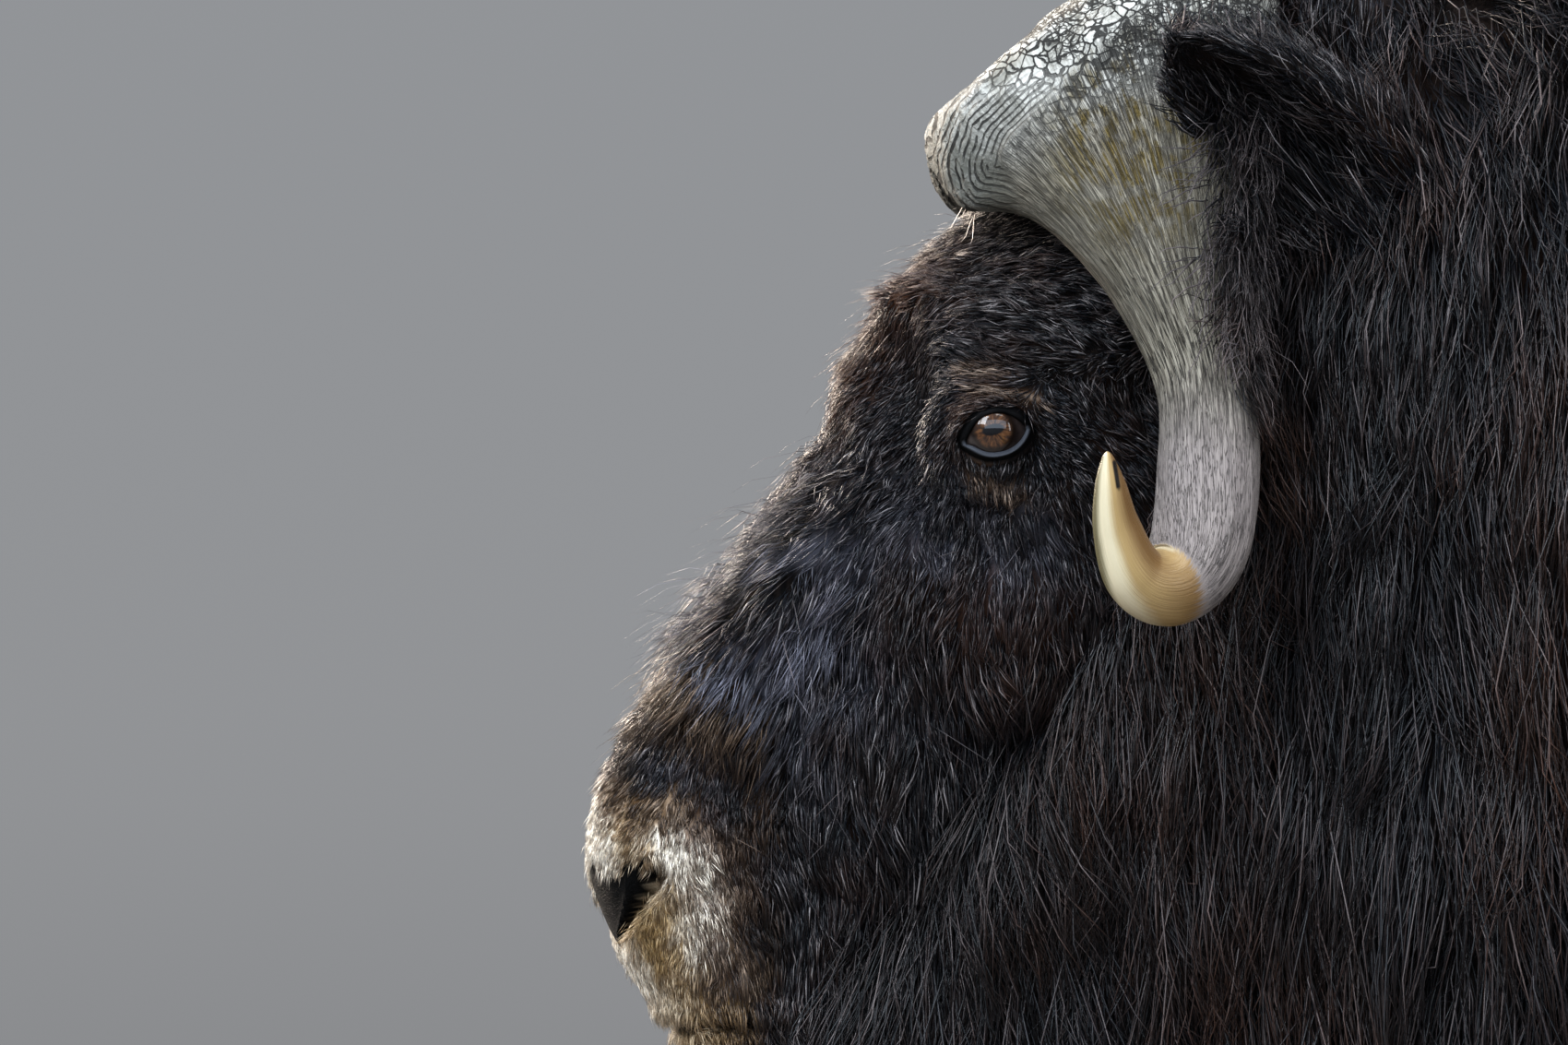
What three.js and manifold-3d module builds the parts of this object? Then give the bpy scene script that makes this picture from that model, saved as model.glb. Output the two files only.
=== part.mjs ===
// A muskox bull standing still, life size. Millimetres, +Z up, nose towards -X, its left side towards -Y.
// The flesh is lofted from stations along the body, the head and each leg; the coat's long hair is tapered locks.
import * as THREE from "three";
import { mergeVertices } from "three/addons/utils/BufferGeometryUtils.js";
import Module from "manifold-3d";

const wasm = await Module();
wasm.setup();

// Driving sizes
const gap = 0.3; // between two pieces that touch
const eyeAt = { x: -930, y: 107, z: 960 };
const eyeRadius = 20;
const neckFrontX = -728; // where the head meets the neck
const neckBackX = -500; // where the neck meets the shoulders
const flankFrontX = -70;
const rumpFrontX = 470;
const rearX = 900; // where the sides meet the hindquarters
const backHalfWidth = 190; // the torso's strip of back between the two sides
const coatHemZ = 285; // the lowest hair tips
const soleTopZ = 62; // where the hooves meet the legs

// Values at any place along a table of rows, by a Catmull-Rom spline through them
function along(rows, place) {
  const last = rows.length - 1;
  const at = Math.min(Math.max(place, 0), 1) * last;
  const i = Math.min(Math.floor(at), last - 1);
  const t = at - i;
  const [p, a, b, q] = [rows[Math.max(i - 1, 0)], rows[i], rows[i + 1], rows[Math.min(i + 2, last)]];
  return a.map((from, k) => {
    const rise = (b[k] - p[k]) / 2;
    const fall = (q[k] - from) / 2;
    const step = b[k] - from;
    return from + t * (rise + t * (3 * step - 2 * rise - fall + t * (rise + fall - 2 * step)));
  });
}

// A closed solid from a geometry: shared corners merged, flat triangles dropped, faces turned outwards
function solidOf(geometry) {
  const bare = geometry.index ? geometry.toNonIndexed() : geometry.clone();
  bare.deleteAttribute("normal");
  bare.deleteAttribute("uv");
  const merged = mergeVertices(bare, 1e-3);
  const corners = [];
  for (let i = 0; i < merged.index.count; i += 3) {
    const [a, b, c] = [0, 1, 2].map((k) => merged.index.getX(i + k));
    if (a !== b && b !== c && c !== a) corners.push(a, b, c);
  }
  const make = (order) =>
    new wasm.Manifold(
      new wasm.Mesh({
        numProp: 3,
        vertProperties: new Float32Array(merged.attributes.position.array),
        triVerts: new Uint32Array(order),
      }),
    );
  const made = make(corners);
  return made.volume() > 0 ? made : make(corners.reverse());
}

// A cylinder's skin laid on rings. ringAt(t) gives the centre, the two half-axes and how square the ring is.
function loft(ringAt, sides, rings, reshape = (p) => p) {
  const shape = new THREE.CylinderGeometry(1, 1, 1, sides, rings, false);
  const place = shape.attributes.position;
  const p = new THREE.Vector3();
  for (let i = 0; i < place.count; i++) {
    const [across, up] = [place.getX(i), place.getZ(i)];
    const ring = ringAt(0.5 - place.getY(i));
    const size = Math.hypot(across, up);
    const [c, s] = size > 1e-6 ? [across / size, up / size] : [0, 0];
    const n = ring.square;
    const reach = size > 1e-6 ? (Math.abs(c) ** n + Math.abs(s) ** n) ** (-1 / n) : 0;
    p.copy(ring.centre)
      .addScaledVector(ring.wide, c * reach)
      .addScaledVector(s > 0 ? ring.rise : ring.drop, Math.abs(s) * reach);
    reshape(p, ring);
    place.setXYZ(i, p.x, p.y, p.z);
  }
  return solidOf(shape);
}

const fuse = (pieces) => pieces.reduce((whole, piece) => whole.add(piece));
const clearOf = (solid, others) => others.reduce((left, other) => left.subtract(other), solid);
const largest = (solid) => solid.decompose().reduce((a, b) => (b.volume() > a.volume() ? b : a));

// A block from one corner to the other
function block(low, high) {
  const size = high.map((v, i) => v - low[i]);
  return solidOf(new THREE.BoxGeometry(...size).translate(...low.map((v, i) => v + size[i] / 2)));
}

// A ball or egg, its three half-axes turned by Euler angles
function egg(at, halves, turn = [0, 0, 0], sides = 16, rings = 10) {
  const shape = new THREE.SphereGeometry(1, sides, rings).scale(...halves);
  shape.applyMatrix4(new THREE.Matrix4().makeRotationFromEuler(new THREE.Euler(...turn)));
  return solidOf(shape.translate(...at));
}

// Repeatable random numbers from 0 to 1
function dice(seed) {
  let state = seed;
  return () => {
    state = (state + 0x6d2b79f5) | 0;
    let t = Math.imul(state ^ (state >>> 15), 1 | state);
    t = (t + Math.imul(t ^ (t >>> 7), 61 | t)) ^ t;
    return ((t ^ (t >>> 14)) >>> 0) / 4294967296;
  };
}

// Body under the coat: each row is a place along it, with the top line, underline, half-width and widest height
const bodyCore = [
  // x, top, bottom, half-width, widest z
  [-985, 700, 632, 20, 665],
  [-925, 800, 622, 62, 715],
  [-860, 960, 618, 92, 800],
  [-790, 1140, 618, 122, 890],
  [-700, 1192, 615, 152, 915],
  [-610, 1250, 606, 195, 905],
  [-520, 1305, 590, 242, 885],
  [-430, 1335, 575, 285, 870],
  [-330, 1338, 562, 318, 860],
  [-200, 1300, 560, 338, 850],
  [-50, 1248, 560, 348, 845],
  [130, 1218, 565, 350, 845],
  [330, 1212, 575, 346, 850],
  [530, 1208, 590, 334, 860],
  [700, 1185, 610, 314, 865],
  [840, 1135, 640, 280, 870],
  [940, 1065, 690, 225, 875],
  [1005, 985, 760, 140, 875],
  [1035, 905, 840, 40, 872],
];
const bodySquare = 2.3;

function bodyRing(rows) {
  return (t) => {
    const [x, top, bottom, half, widest] = along(rows, t);
    return {
      centre: new THREE.Vector3(x, 0, widest),
      wide: new THREE.Vector3(0, half, 0),
      rise: new THREE.Vector3(0, 0, top - widest),
      drop: new THREE.Vector3(0, 0, bottom - widest),
      square: bodySquare,
    };
  };
}

// Head: along an axis from the poll to the nose, each row has heights off the axis and the half-width
const poll = new THREE.Vector3(-800, 0, 1100);
const headAlong = new THREE.Vector3(-0.62, 0, -0.785).normalize();
const headUp = new THREE.Vector3(-0.785, 0, 0.62).normalize();
const headSections = [
  // along, bridge, jaw, half-width, height of the widest line, square
  [-130, 60, -150, 100, -20, 2.1],
  [-60, 78, -175, 106, -20, 2.1],
  [10, 88, -185, 110, -15, 2.2],
  [80, 98, -185, 113, -5, 2.2],
  [140, 111, -178, 115, 5, 2.3],
  [200, 108, -168, 110, 0, 2.3],
  [260, 97, -156, 99, -10, 2.3],
  [320, 91, -147, 89, -15, 2.3],
  [380, 88, -142, 82, -20, 2.3],
  [430, 75, -143, 79, -25, 2.4],
  [475, 65, -146, 77, -30, 2.5],
  [510, 44, -143, 71, -40, 2.5],
  [532, 12, -130, 60, -55, 2.3],
  [546, -25, -112, 42, -68, 2.1],
  [551, -52, -92, 14, -73, 2],
];
// Where the face swells or sinks: place, reach and height
const faceForms = [
  { at: [-938, 120, 1000], reach: 40, rise: 12 }, // brow over the eye
  { at: [-890, 118, 962], reach: 34, rise: 7 }, // rear of the socket
  { at: [-932, 118, 955], reach: 26, rise: -6 }, // socket
  { at: [-985, 85, 975], reach: 38, rise: -8 }, // hollow before the eye
  { at: [-925, 112, 905], reach: 34, rise: -5 }, // hollow under the eye
  { at: [-845, 110, 880], reach: 75, rise: 12 }, // cheek
  { at: [-1108, 66, 742], reach: 30, rise: 7 }, // wing of the nostril
];

function headRing(t) {
  const [s, bridge, jaw, half, widest, square] = along(headSections, t);
  return {
    centre: poll.clone().addScaledVector(headAlong, s).addScaledVector(headUp, widest),
    wide: new THREE.Vector3(0, half, 0),
    rise: headUp.clone().multiplyScalar(bridge - widest),
    drop: headUp.clone().multiplyScalar(jaw - widest),
    square,
  };
}

function shapeFace(p, ring) {
  const out = p.clone().sub(ring.centre).normalize();
  let push = 0;
  for (const { at, reach, rise } of faceForms) {
    const away = Math.hypot(p.x - at[0], Math.abs(p.y) - at[1], p.z - at[2]);
    push += rise * Math.exp(-((away / reach) ** 2));
  }
  p.addScaledVector(out, push);
}

// The head's half-width at a place in its side view
function faceHalf(x, z) {
  const off = new THREE.Vector3(x, 0, z).sub(poll);
  const [s, h] = [off.dot(headAlong), off.dot(headUp)];
  let [low, high] = [0, 1];
  for (let i = 0; i < 30; i++) {
    const mid = (low + high) / 2;
    if (along(headSections, mid)[0] < s) low = mid;
    else high = mid;
  }
  const [, bridge, jaw, half, widest, square] = along(headSections, low);
  const share = Math.min(Math.abs((h - widest) / ((h > widest ? bridge : jaw) - widest)), 0.999);
  return half * (1 - share ** square) ** (1 / square);
}

// Horns: a broad boss on the crown that narrows down the side of the head and hooks forward and up
const hornPath = [
  // x, y, z, half-width fore and aft, half-thickness, tilt of the width in degrees, square
  [-872, 7, 1178, 104, 34, 24, 2.5],
  [-873, 40, 1181, 106, 40, 24, 2.5],
  [-872, 82, 1168, 102, 43, 26, 2.4],
  [-862, 116, 1132, 84, 40, 32, 2.3],
  [-846, 137, 1085, 60, 34, 34, 2.2],
  [-830, 152, 1035, 38, 29, 28, 2.1],
  [-817, 166, 985, 28, 27, 14, 2],
  [-810, 182, 938, 27.5, 26, 2, 2],
  [-815, 202, 899, 26, 25, -22, 2],
  [-832, 222, 879, 22, 21.5, -60, 2],
  [-851, 237, 884, 17.5, 17, -95, 2],
  [-863, 248, 910, 12.5, 12, -112, 2],
  [-867, 256, 936, 6.5, 6, -118, 2],
  [-867.5, 260, 951, 1.2, 1.2, -120, 2],
];

function hornSolid(side, grow = 0) {
  const centreAt = (t) => {
    const [x, y, z] = along(hornPath, t);
    return new THREE.Vector3(x, side * y, z);
  };
  const step = 1e-3;
  return loft(
    (t) => {
      const [, , , half, thick, tilt, square] = along(hornPath, t);
      const onward = centreAt(Math.min(t + step, 1)).sub(centreAt(Math.max(t - step, 0))).normalize();
      const turn = THREE.MathUtils.degToRad(tilt);
      const wide = new THREE.Vector3(Math.cos(turn), 0, Math.sin(turn));
      wide.addScaledVector(onward, -wide.dot(onward)).normalize();
      const thin = wide.clone().cross(onward);
      const rise = thin.multiplyScalar(thick + grow);
      return {
        centre: centreAt(t),
        wide: wide.multiplyScalar(half + grow),
        rise,
        drop: rise.clone().negate(),
        square,
      };
    },
    12,
    24,
  );
}

// Ears: a pointed cup on the side of the poll, its opening forward and out
const ear = {
  root: [-748, 104, 1064],
  tip: [-824, 222, 1166],
  sections: [
    // place along, half-width, half-thickness, bow backwards
    [0, 20, 17, 0],
    [0.18, 30, 22, 3],
    [0.4, 37, 22, 7],
    [0.62, 35, 17, 8],
    [0.82, 24, 10, 5],
    [0.94, 12, 6, 2],
    [1, 2, 1.6, 0],
  ],
  cupDeep: 15,
  cupShare: 0.74,
};

function earSolid(side, grow = 0) {
  const root = new THREE.Vector3(ear.root[0], side * ear.root[1], ear.root[2]);
  const tip = new THREE.Vector3(ear.tip[0], side * ear.tip[1], ear.tip[2]);
  const onward = tip.clone().sub(root).normalize();
  const open = new THREE.Vector3(-0.75, side * 0.55, -0.2);
  open.addScaledVector(onward, -open.dot(onward)).normalize();
  const across = open.clone().cross(onward);
  const ringOf = (share, deep) => (t) => {
    const [place, half, thick, bow] = along(ear.sections, t);
    const centre = root.clone().lerp(tip, 0.06 * deep + place * (1 - 0.16 * deep));
    centre.addScaledVector(open, ear.cupDeep * deep - bow);
    const rise = open.clone().multiplyScalar(Math.max(thick * share, 1) + grow);
    const wide = across.clone().multiplyScalar(Math.max(half * share, 1) + grow);
    return { centre, wide, rise, drop: rise.clone().negate(), square: 2 };
  };
  const whole = loft(ringOf(1, 0), 10, 7);
  return grow ? whole : whole.subtract(loft(ringOf(ear.cupShare, 1), 8, 5));
}

// Legs: each row is a height, with the leg's place and half-sizes there
const foreleg = [
  // z, x, y, half fore and aft, half across
  [760, -318, 168, 84, 62],
  [680, -322, 170, 78, 58],
  [600, -328, 172, 68, 54],
  [520, -330, 173, 58, 49],
  [450, -330, 174, 50, 44],
  [385, -334, 175, 49, 44],
  [330, -330, 175, 41, 39],
  [250, -326, 175, 36, 36],
  [180, -324, 175, 38, 38],
  [130, -322, 175, 44, 42],
  [92, -328, 175, 44, 43],
  [soleTopZ, -336, 175, 53, 54],
];
const hindleg = [
  [760, 700, 172, 108, 62],
  [680, 716, 174, 96, 60],
  [600, 742, 175, 80, 55],
  [530, 775, 176, 62, 48],
  [465, 805, 176, 52, 42],
  [405, 814, 176, 50, 40],
  [340, 803, 176, 42, 37],
  [260, 792, 176, 37, 35],
  [180, 782, 176, 38, 37],
  [130, 778, 176, 43, 41],
  [92, 770, 176, 43, 42],
  [soleTopZ, 760, 176, 51, 52],
];
const dewclaw = { back: 40, across: 21, z: 100, halves: [13, 11, 19] };

function legSolid(rows, side, grow = 0) {
  const column = loft(
    (t) => {
      const [z, x, y, foreAft, across] = along(rows, t);
      const wide = new THREE.Vector3(foreAft + grow, 0, 0);
      const rise = new THREE.Vector3(0, across + grow, 0);
      return {
        centre: new THREE.Vector3(x, side * y, z + (t < 1e-6 ? grow : 0)),
        wide,
        rise,
        drop: rise.clone().negate(),
        square: 2.2,
      };
    },
    10,
    13,
  );
  const [, x, y] = rows[rows.length - 3];
  const claws = [-1, 1].map((inner) =>
    egg([x + dewclaw.back, side * y + inner * dewclaw.across, dewclaw.z], dewclaw.halves, [0, -0.3, 0], 7, 4),
  );
  return grow ? column : fuse([column, ...claws]);
}

// Hooves: two broad toes on each foot, flat underneath
const toeOutline = [
  // z, forward of the leg, half-length, half-width
  [soleTopZ - gap, 0, 50, 23],
  [48, 2, 54, 26],
  [24, 7, 60, 28.5],
  [4, 11, 65, 29.5],
  [0, 11, 63, 28],
];
const toeSpread = 30;

function toeSolid(rows, side, inner, scale) {
  const [, x, y] = rows[rows.length - 1];
  return loft(
    (t) => {
      const [z, forward, long, half] = along(toeOutline, t);
      const rise = new THREE.Vector3(0, half * scale, 0);
      return {
        centre: new THREE.Vector3(x - forward * scale, side * y + inner * toeSpread * scale, z),
        wide: new THREE.Vector3(long * scale, 0, 0),
        rise,
        drop: rise.clone().negate(),
        square: 2.4,
      };
    },
    12,
    4,
  );
}

// Tail: short, hanging against the rump
const tailRows = [
  // x, z, half-width, half-thickness
  [975, 1005, 30, 26],
  [1024, 992, 31, 25],
  [1062, 955, 30, 22],
  [1082, 900, 25, 17],
  [1088, 850, 10, 7],
];

function tailSolid(grow = 0) {
  return loft(
    (t) => {
      const [x, z, half, thick] = along(tailRows, t);
      const lean = new THREE.Vector3(0.9, 0, 0.35).multiplyScalar(thick + grow);
      return {
        centre: new THREE.Vector3(x, 0, z),
        wide: new THREE.Vector3(0, half + grow, 0),
        rise: lean,
        drop: lean.clone().negate(),
        square: 2,
      };
    },
    10,
    7,
  );
}

// Eyelids: a ball around the eye with an almond opening
const lid = { radius: 25, openLong: 17.5, openHigh: 10.5, openDeep: 34 };

function lidSolid(side) {
  return egg([eyeAt.x, side * eyeAt.y, eyeAt.z], [lid.radius, lid.radius, lid.radius], [0, 0, 0], 12, 8);
}

function lidOpening(side) {
  const at = [eyeAt.x - 2, side * (eyeAt.y + 24), eyeAt.z - 1];
  return egg(at, [lid.openLong, lid.openDeep, lid.openHigh], [0, 0.22, side * 0.2], 10, 6);
}

const eyeBall = (side, grow = 0) =>
  egg([eyeAt.x, side * eyeAt.y, eyeAt.z], [0, 1, 2].map(() => eyeRadius + grow), [Math.PI / 2, 0, 0], 12, 8);

// A round cord along a list of points, used for lips and the mouth line
function cord(points, radius, sides, rings) {
  const curve = new THREE.CatmullRomCurve3(points.map((p) => new THREE.Vector3(...p)));
  const upright = new THREE.Vector3(0, 0, 1);
  return loft(
    (t) => {
      const onward = curve.getTangent(Math.min(Math.max(t, 1e-4), 1 - 1e-4));
      const wide = upright.clone().cross(onward).normalize();
      const size = radius * (0.25 + 0.75 * Math.sqrt(Math.sin(Math.PI * Math.min(Math.max(t, 0.02), 0.98))));
      const rise = onward.clone().cross(wide).multiplyScalar(size);
      return {
        centre: curve.getPoint(t),
        wide: wide.multiplyScalar(size),
        rise,
        drop: rise.clone().negate(),
        square: 2,
      };
    },
    sides,
    rings,
  );
}

// The line of the mouth in the side view, from its corner to the front
const mouthLine = [
  [-998, 668],
  [-1017, 652],
  [-1045, 646],
  [-1074, 643],
];
const mouthFront = [-1094, 0, 642];

// A path round the mouth, set in from the surface and lifted
function mouthPath(lift, inward) {
  const half = mouthLine.map(([x, z]) => [x, faceHalf(x, z) - inward, z + lift]);
  const other = half.map(([x, y, z]) => [x, -y, z]).reverse();
  return [...half, [mouthFront[0] + inward, 0, mouthFront[2] + lift], ...other];
}

// Nostrils: commas down the front corners of the muzzle
const nostrilPath = [
  // x, z, half-length, half-thickness
  [-1106, 736, 15, 10],
  [-1121, 718, 18, 12],
  [-1130, 698, 11, 9],
  [-1132, 680, 5, 4],
];

function nostril(side) {
  return loft(
    (t) => {
      const [x, z, half, thick] = along(nostrilPath, t);
      const wide = new THREE.Vector3(-0.8, side * 0.6, 0).multiplyScalar(half);
      const rise = new THREE.Vector3(0.35, side * 0.47, 0.4).multiplyScalar(thick);
      const centre = new THREE.Vector3(x, side * (faceHalf(x, z) - 1), z);
      return { centre, wide, rise, drop: rise.clone().negate(), square: 2 };
    },
    10,
    6,
  );
}

// Coat: each row is where the hair tips lie, in the same columns as the body's rows
const coatOutline = [
  [-1062, 632, 588, 16, 612],
  [-1020, 680, 560, 58, 630],
  [-960, 780, 520, 92, 680],
  [-900, 890, 490, 116, 735],
  [-840, 1050, 465, 138, 780],
  [-785, 1178, 450, 168, 790],
  [-728, 1222, 435, 212, 785],
  [-660, 1262, 415, 256, 775],
  [-590, 1302, 385, 292, 765],
  [-520, 1345, 350, 325, 760],
  [-430, 1378, 310, 365, 750],
  [-330, 1380, 290, 392, 740],
  [-200, 1345, coatHemZ, 410, 730],
  [-50, 1295, coatHemZ, 418, 720],
  [130, 1265, coatHemZ, 420, 720],
  [330, 1260, coatHemZ, 416, 725],
  [530, 1255, coatHemZ, 405, 730],
  [700, 1230, 290, 385, 740],
  [840, 1180, 300, 350, 750],
  [950, 1105, 325, 290, 770],
  [1035, 1000, 370, 200, 790],
  [1085, 880, 480, 70, 800],
];
const skirtInset = 0.16; // how far the skirt's hem draws in, as a share of the half-width
const lock = {
  shares: [0, 0.32, 0.68, 1], // places along a lock from root to tip
  widths: [0.6, 1.05, 0.8, 0],
  thick: [18, 24, 17, 0],
  hanging: [0, 0.6, 0.9, 1], // how far out it lies between the body and the coat's outline
  lyingBack: [0, 0.65, 0.95, 0.9],
  sink: 36, // how deep a root goes into the body
  depth: 75, // the thickest pile of locks
  shingle: 0.13, // turn that lays one edge over the next lock
  overlap: 0.62, // half-width as a share of the step between locks
};
const facets = { core: [18, 20], head: [24, 24], lip: [5, 10], groove: [4, 10] }; // sides, rings
const { lerp } = THREE.MathUtils;
const random = dice(11);
const vary = (by) => (random() - 0.5) * 2 * by;

// The row of a table at a place along the body
function rowAt(rows, x) {
  let [low, high] = [0, 1];
  for (let i = 0; i < 24; i++) {
    const mid = (low + high) / 2;
    if (along(rows, mid)[0] < x) low = mid;
    else high = mid;
  }
  return along(rows, low);
}

const bulge = (share) => (1 - Math.min(Math.abs(share), 0.999) ** bodySquare) ** (1 / bodySquare);

// How far out the body lies at a height
function fleshAt(x, z) {
  const [, top, bottom, half, widest] = rowAt(bodyCore, x);
  return half * bulge((z - widest) / ((z > widest ? top : bottom) - widest));
}

// How far out the hair tips lie at a height: rounded above the widest line, hanging below it
function tipsAt(x, z) {
  const [, top, bottom, half, widest] = rowAt(coatOutline, x);
  if (z > widest) return half * bulge((z - widest) / (top - widest));
  return half * (1 - skirtInset * Math.min((widest - z) / (widest - bottom), 1) ** 2);
}

// How high a surface lies above the back
function topAt(rows, x, y) {
  const [, top, , half, widest] = rowAt(rows, x);
  return widest + (top - widest) * bulge(y / half);
}

// A flat, tapered lock through four points, its flat side turned to face outwards
function lockSolid(points, halfWidth, outwards, turn = lock.shingle) {
  const last = points.length - 1;
  return loft(
    (t) => {
      const i = Math.round(t * last);
      const onward = points[Math.min(i + 1, last)].clone().sub(points[Math.max(i - 1, 0)]).normalize();
      const thin = outwards.clone().addScaledVector(onward, -outwards.dot(onward)).normalize();
      thin.applyAxisAngle(onward, turn);
      const wide = onward.clone().cross(thin);
      const rise = thin.multiplyScalar(lock.thick[i]);
      return {
        centre: points[i],
        wide: wide.multiplyScalar(halfWidth * lock.widths[i]),
        rise,
        drop: rise.clone().negate(),
        square: 2,
      };
    },
    3,
    last,
  );
}

// A lock that hangs down a flank, from its root on the body to its tip at the coat's outline
function sideLock(side, x, z, drop, halfWidth, rootAt = fleshAt) {
  const lean = vary(26) + 12;
  const out = vary(0.14);
  const points = lock.shares.map((share, i) => {
    const [px, pz] = [x + lean * share, z - drop * share];
    const outer = tipsAt(px, pz);
    const inner = Math.min(Math.max(rootAt(px, pz), outer - lock.depth), outer - 10);
    const y = i === 0 ? rootAt(px, pz) - lock.sink : lerp(inner, outer, lock.hanging[i] + out);
    return new THREE.Vector3(px, side * y, pz);
  });
  return lockSolid(points, halfWidth, new THREE.Vector3(0, side, 0.15), side * lock.shingle);
}

// A lock that lies back over the top line
function backLock(x, y, length, halfWidth) {
  const points = lock.shares.map((share, i) => {
    const [px, py] = [x + length * share, y * (1 + 0.12 * share) + vary(6)];
    const [inner, outer] = [topAt(bodyCore, px, py), topAt(coatOutline, px, py)];
    return new THREE.Vector3(px, py, i === 0 ? inner - lock.sink : lerp(inner, outer, lock.lyingBack[i]));
  });
  return lockSolid(points, halfWidth, new THREE.Vector3(-0.1, y / 400, 1), 0.05 * Math.sign(y));
}

// A lock that hangs from the chest, throat or rump, its flat side to the front or back
function hangingLock(root, mid, tip, halfWidth, facing) {
  const [a, b, c] = [root, mid, tip].map((p) => new THREE.Vector3(...p));
  const bow = b.clone().multiplyScalar(2).addScaledVector(a, -0.5).addScaledVector(c, -0.5);
  const curve = new THREE.QuadraticBezierCurve3(a, bow, c);
  return lockSolid(lock.shares.map((share) => curve.getPoint(share)), halfWidth, facing, vary(0.12));
}

// Rows of locks down one flank between two places along the body
function flankLocks(side, [from, to], count, tiers) {
  const step = (to - from) / count;
  return tiers.flatMap(([z, hang]) =>
    Array.from({ length: count }, (_, i) => {
      const x = from + step * (i + 0.5) + vary(step * 0.1);
      const [, , bottom] = rowAt(coatOutline, x);
      const tipZ = Math.max(z - hang + vary(18), bottom + 4 + random() * 22);
      const [, , , wide] = rowAt(bodyCore, x);
      const rootZ = Math.min(z + vary(16), topAt(bodyCore, x, Math.min(205, wide * 0.7)) - 6);
      return sideLock(side, x, rootZ, rootZ - tipZ, step * lock.overlap);
    }),
  );
}

const sideTiers = [
  // root height, length
  [1105, 345],
  [905, 385],
  [715, 430],
];

// Cuts the body apart at thin gaps
const far = 3000;
const half = gap / 2;
const slab = (x, y = [-far, far]) => block([x[0] + half, y[0] + half, -far], [x[1] - half, y[1] - half, far]);
const within = (pieces, x, y) => fuse(pieces).intersect(slab(x, y));

// Building
const legs = {
  foreleg_left: [foreleg, -1],
  foreleg_right: [foreleg, 1],
  hindleg_left: [hindleg, -1],
  hindleg_right: [hindleg, 1],
};
const legRoom = Object.values(legs).map(([rows, side]) => legSolid(rows, side, gap));
const bodyRoom = [...legRoom, tailSolid(gap)];
const core = loft(bodyRing(bodyCore), ...facets.core);

const sides = [
  ["left", -1],
  ["right", 1],
];
const both = [-1, 1];
const hornRoom = both.map((side) => hornSolid(side, gap));
const earRoom = both.map((side) => earSolid(side, gap));
const headCore = loft(headRing, ...facets.head, shapeFace);
const lips = [cord(mouthPath(8, 3), 8, ...facets.lip), cord(mouthPath(-8, 5), 7, ...facets.lip)];
const mouthGroove = cord(mouthPath(0, 1), 3.4, ...facets.groove);
const lids = both.map((side) => lidSolid(side));
const openings = both.flatMap((side) => [lidOpening(side), eyeBall(side, gap), nostril(side)]);
const face = clearOf(fuse([headCore, ...lips, ...lids]), [mouthGroove, ...openings]);

// Cheek, jaw and throat hair: where each lock starts, how far it hangs and its half-width
const ruff = [
  [-764, 1030, 300, 50],
  [-766, 820, 340, 52],
  [-836, 880, 320, 52],
  [-852, 755, 270, 48],
  [-912, 770, 260, 46],
  [-968, 700, 170, 40],
];
const beard = [
  // x, root height, tip height, half-width
  [-985, 640, 535, 46],
  [-905, 710, 496, 70],
  [-800, 780, 455, 74],
];
const ruffLocks = both.flatMap((side) =>
  ruff.map(([x, z, drop, halfWidth]) => {
    const onHead = (px, pz) => Math.max(faceHalf(px, pz), fleshAt(px, pz));
    return sideLock(side, x, z, drop + vary(14), halfWidth, onHead);
  }),
);
const forward = new THREE.Vector3(-1, 0, 0.1);
const backward = new THREE.Vector3(1, 0, 0.1);
const beardLocks = beard.flatMap(([x, rootZ, tipZ, halfWidth], i) =>
  (i < 2 ? [0] : both).map((side) => {
    const y = side * halfWidth * 0.8;
    return hangingLock([x + 14, y, rootZ + 20], [x, y * 1.1, (rootZ + tipZ) / 2], [x + 8, y, tipZ], halfWidth, forward);
  }),
);

// Neck: a mane over the top and sides, and a chest mane below
const chestRows = [
  // x, tip height
  [-680, 418],
  [-570, 366],
];
const chestLocks = chestRows.flatMap(([x, tipZ]) =>
  [-120, 0, 120].map((y) => {
    const [rootZ, wander] = [rowAt(bodyCore, x)[2] + 40, vary(14)];
    const mid = [x - 12, y * 1.2, (rootZ + tipZ) / 2];
    return hangingLock([x + 10, y, rootZ], mid, [x + wander, y * 1.15, tipZ + Math.abs(wander)], 62, forward);
  }),
);
const maneTop = [0, -95, 95].map((y) => backLock(-716, y, 196, 66));
const neckSpan = [neckFrontX, neckBackX];
const neckTiers = [[1110, 330], [935, 350], [765, 350]];

// Rump: tiers that hang down behind, around the tail
const rearTiers = [
  // root x and z, middle, tip
  [[962, 1010], [1058, 860], [1078, 670]],
  [[985, 840], [1066, 640], [1050, 372]],
];
const rearLocks = rearTiers.flatMap(([root, mid, tip], tier) =>
  [-150, -56, 56, 150].map((y) => {
    const [back, wander] = [((y / 150) ** 2 * 62), vary(10)];
    const spots = [root, mid, tip].map(([x, z], i) => [x - back, y * (1 + 0.06 * i) + wander * i * 0.5, z]);
    return hangingLock(...spots, tier ? 66 : 58, backward);
  }),
);
const rearSideLocks = both.flatMap((side) => flankLocks(side, [rearX, rearX + 100], 1, sideTiers));

const backRows = Array.from({ length: 6 }, (_, i) => neckBackX + 24 + i * 212);
const backLocks = backRows.flatMap((x) => both.map((side) => backLock(x, side * (94 + vary(6)), 290, 84)));

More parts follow.
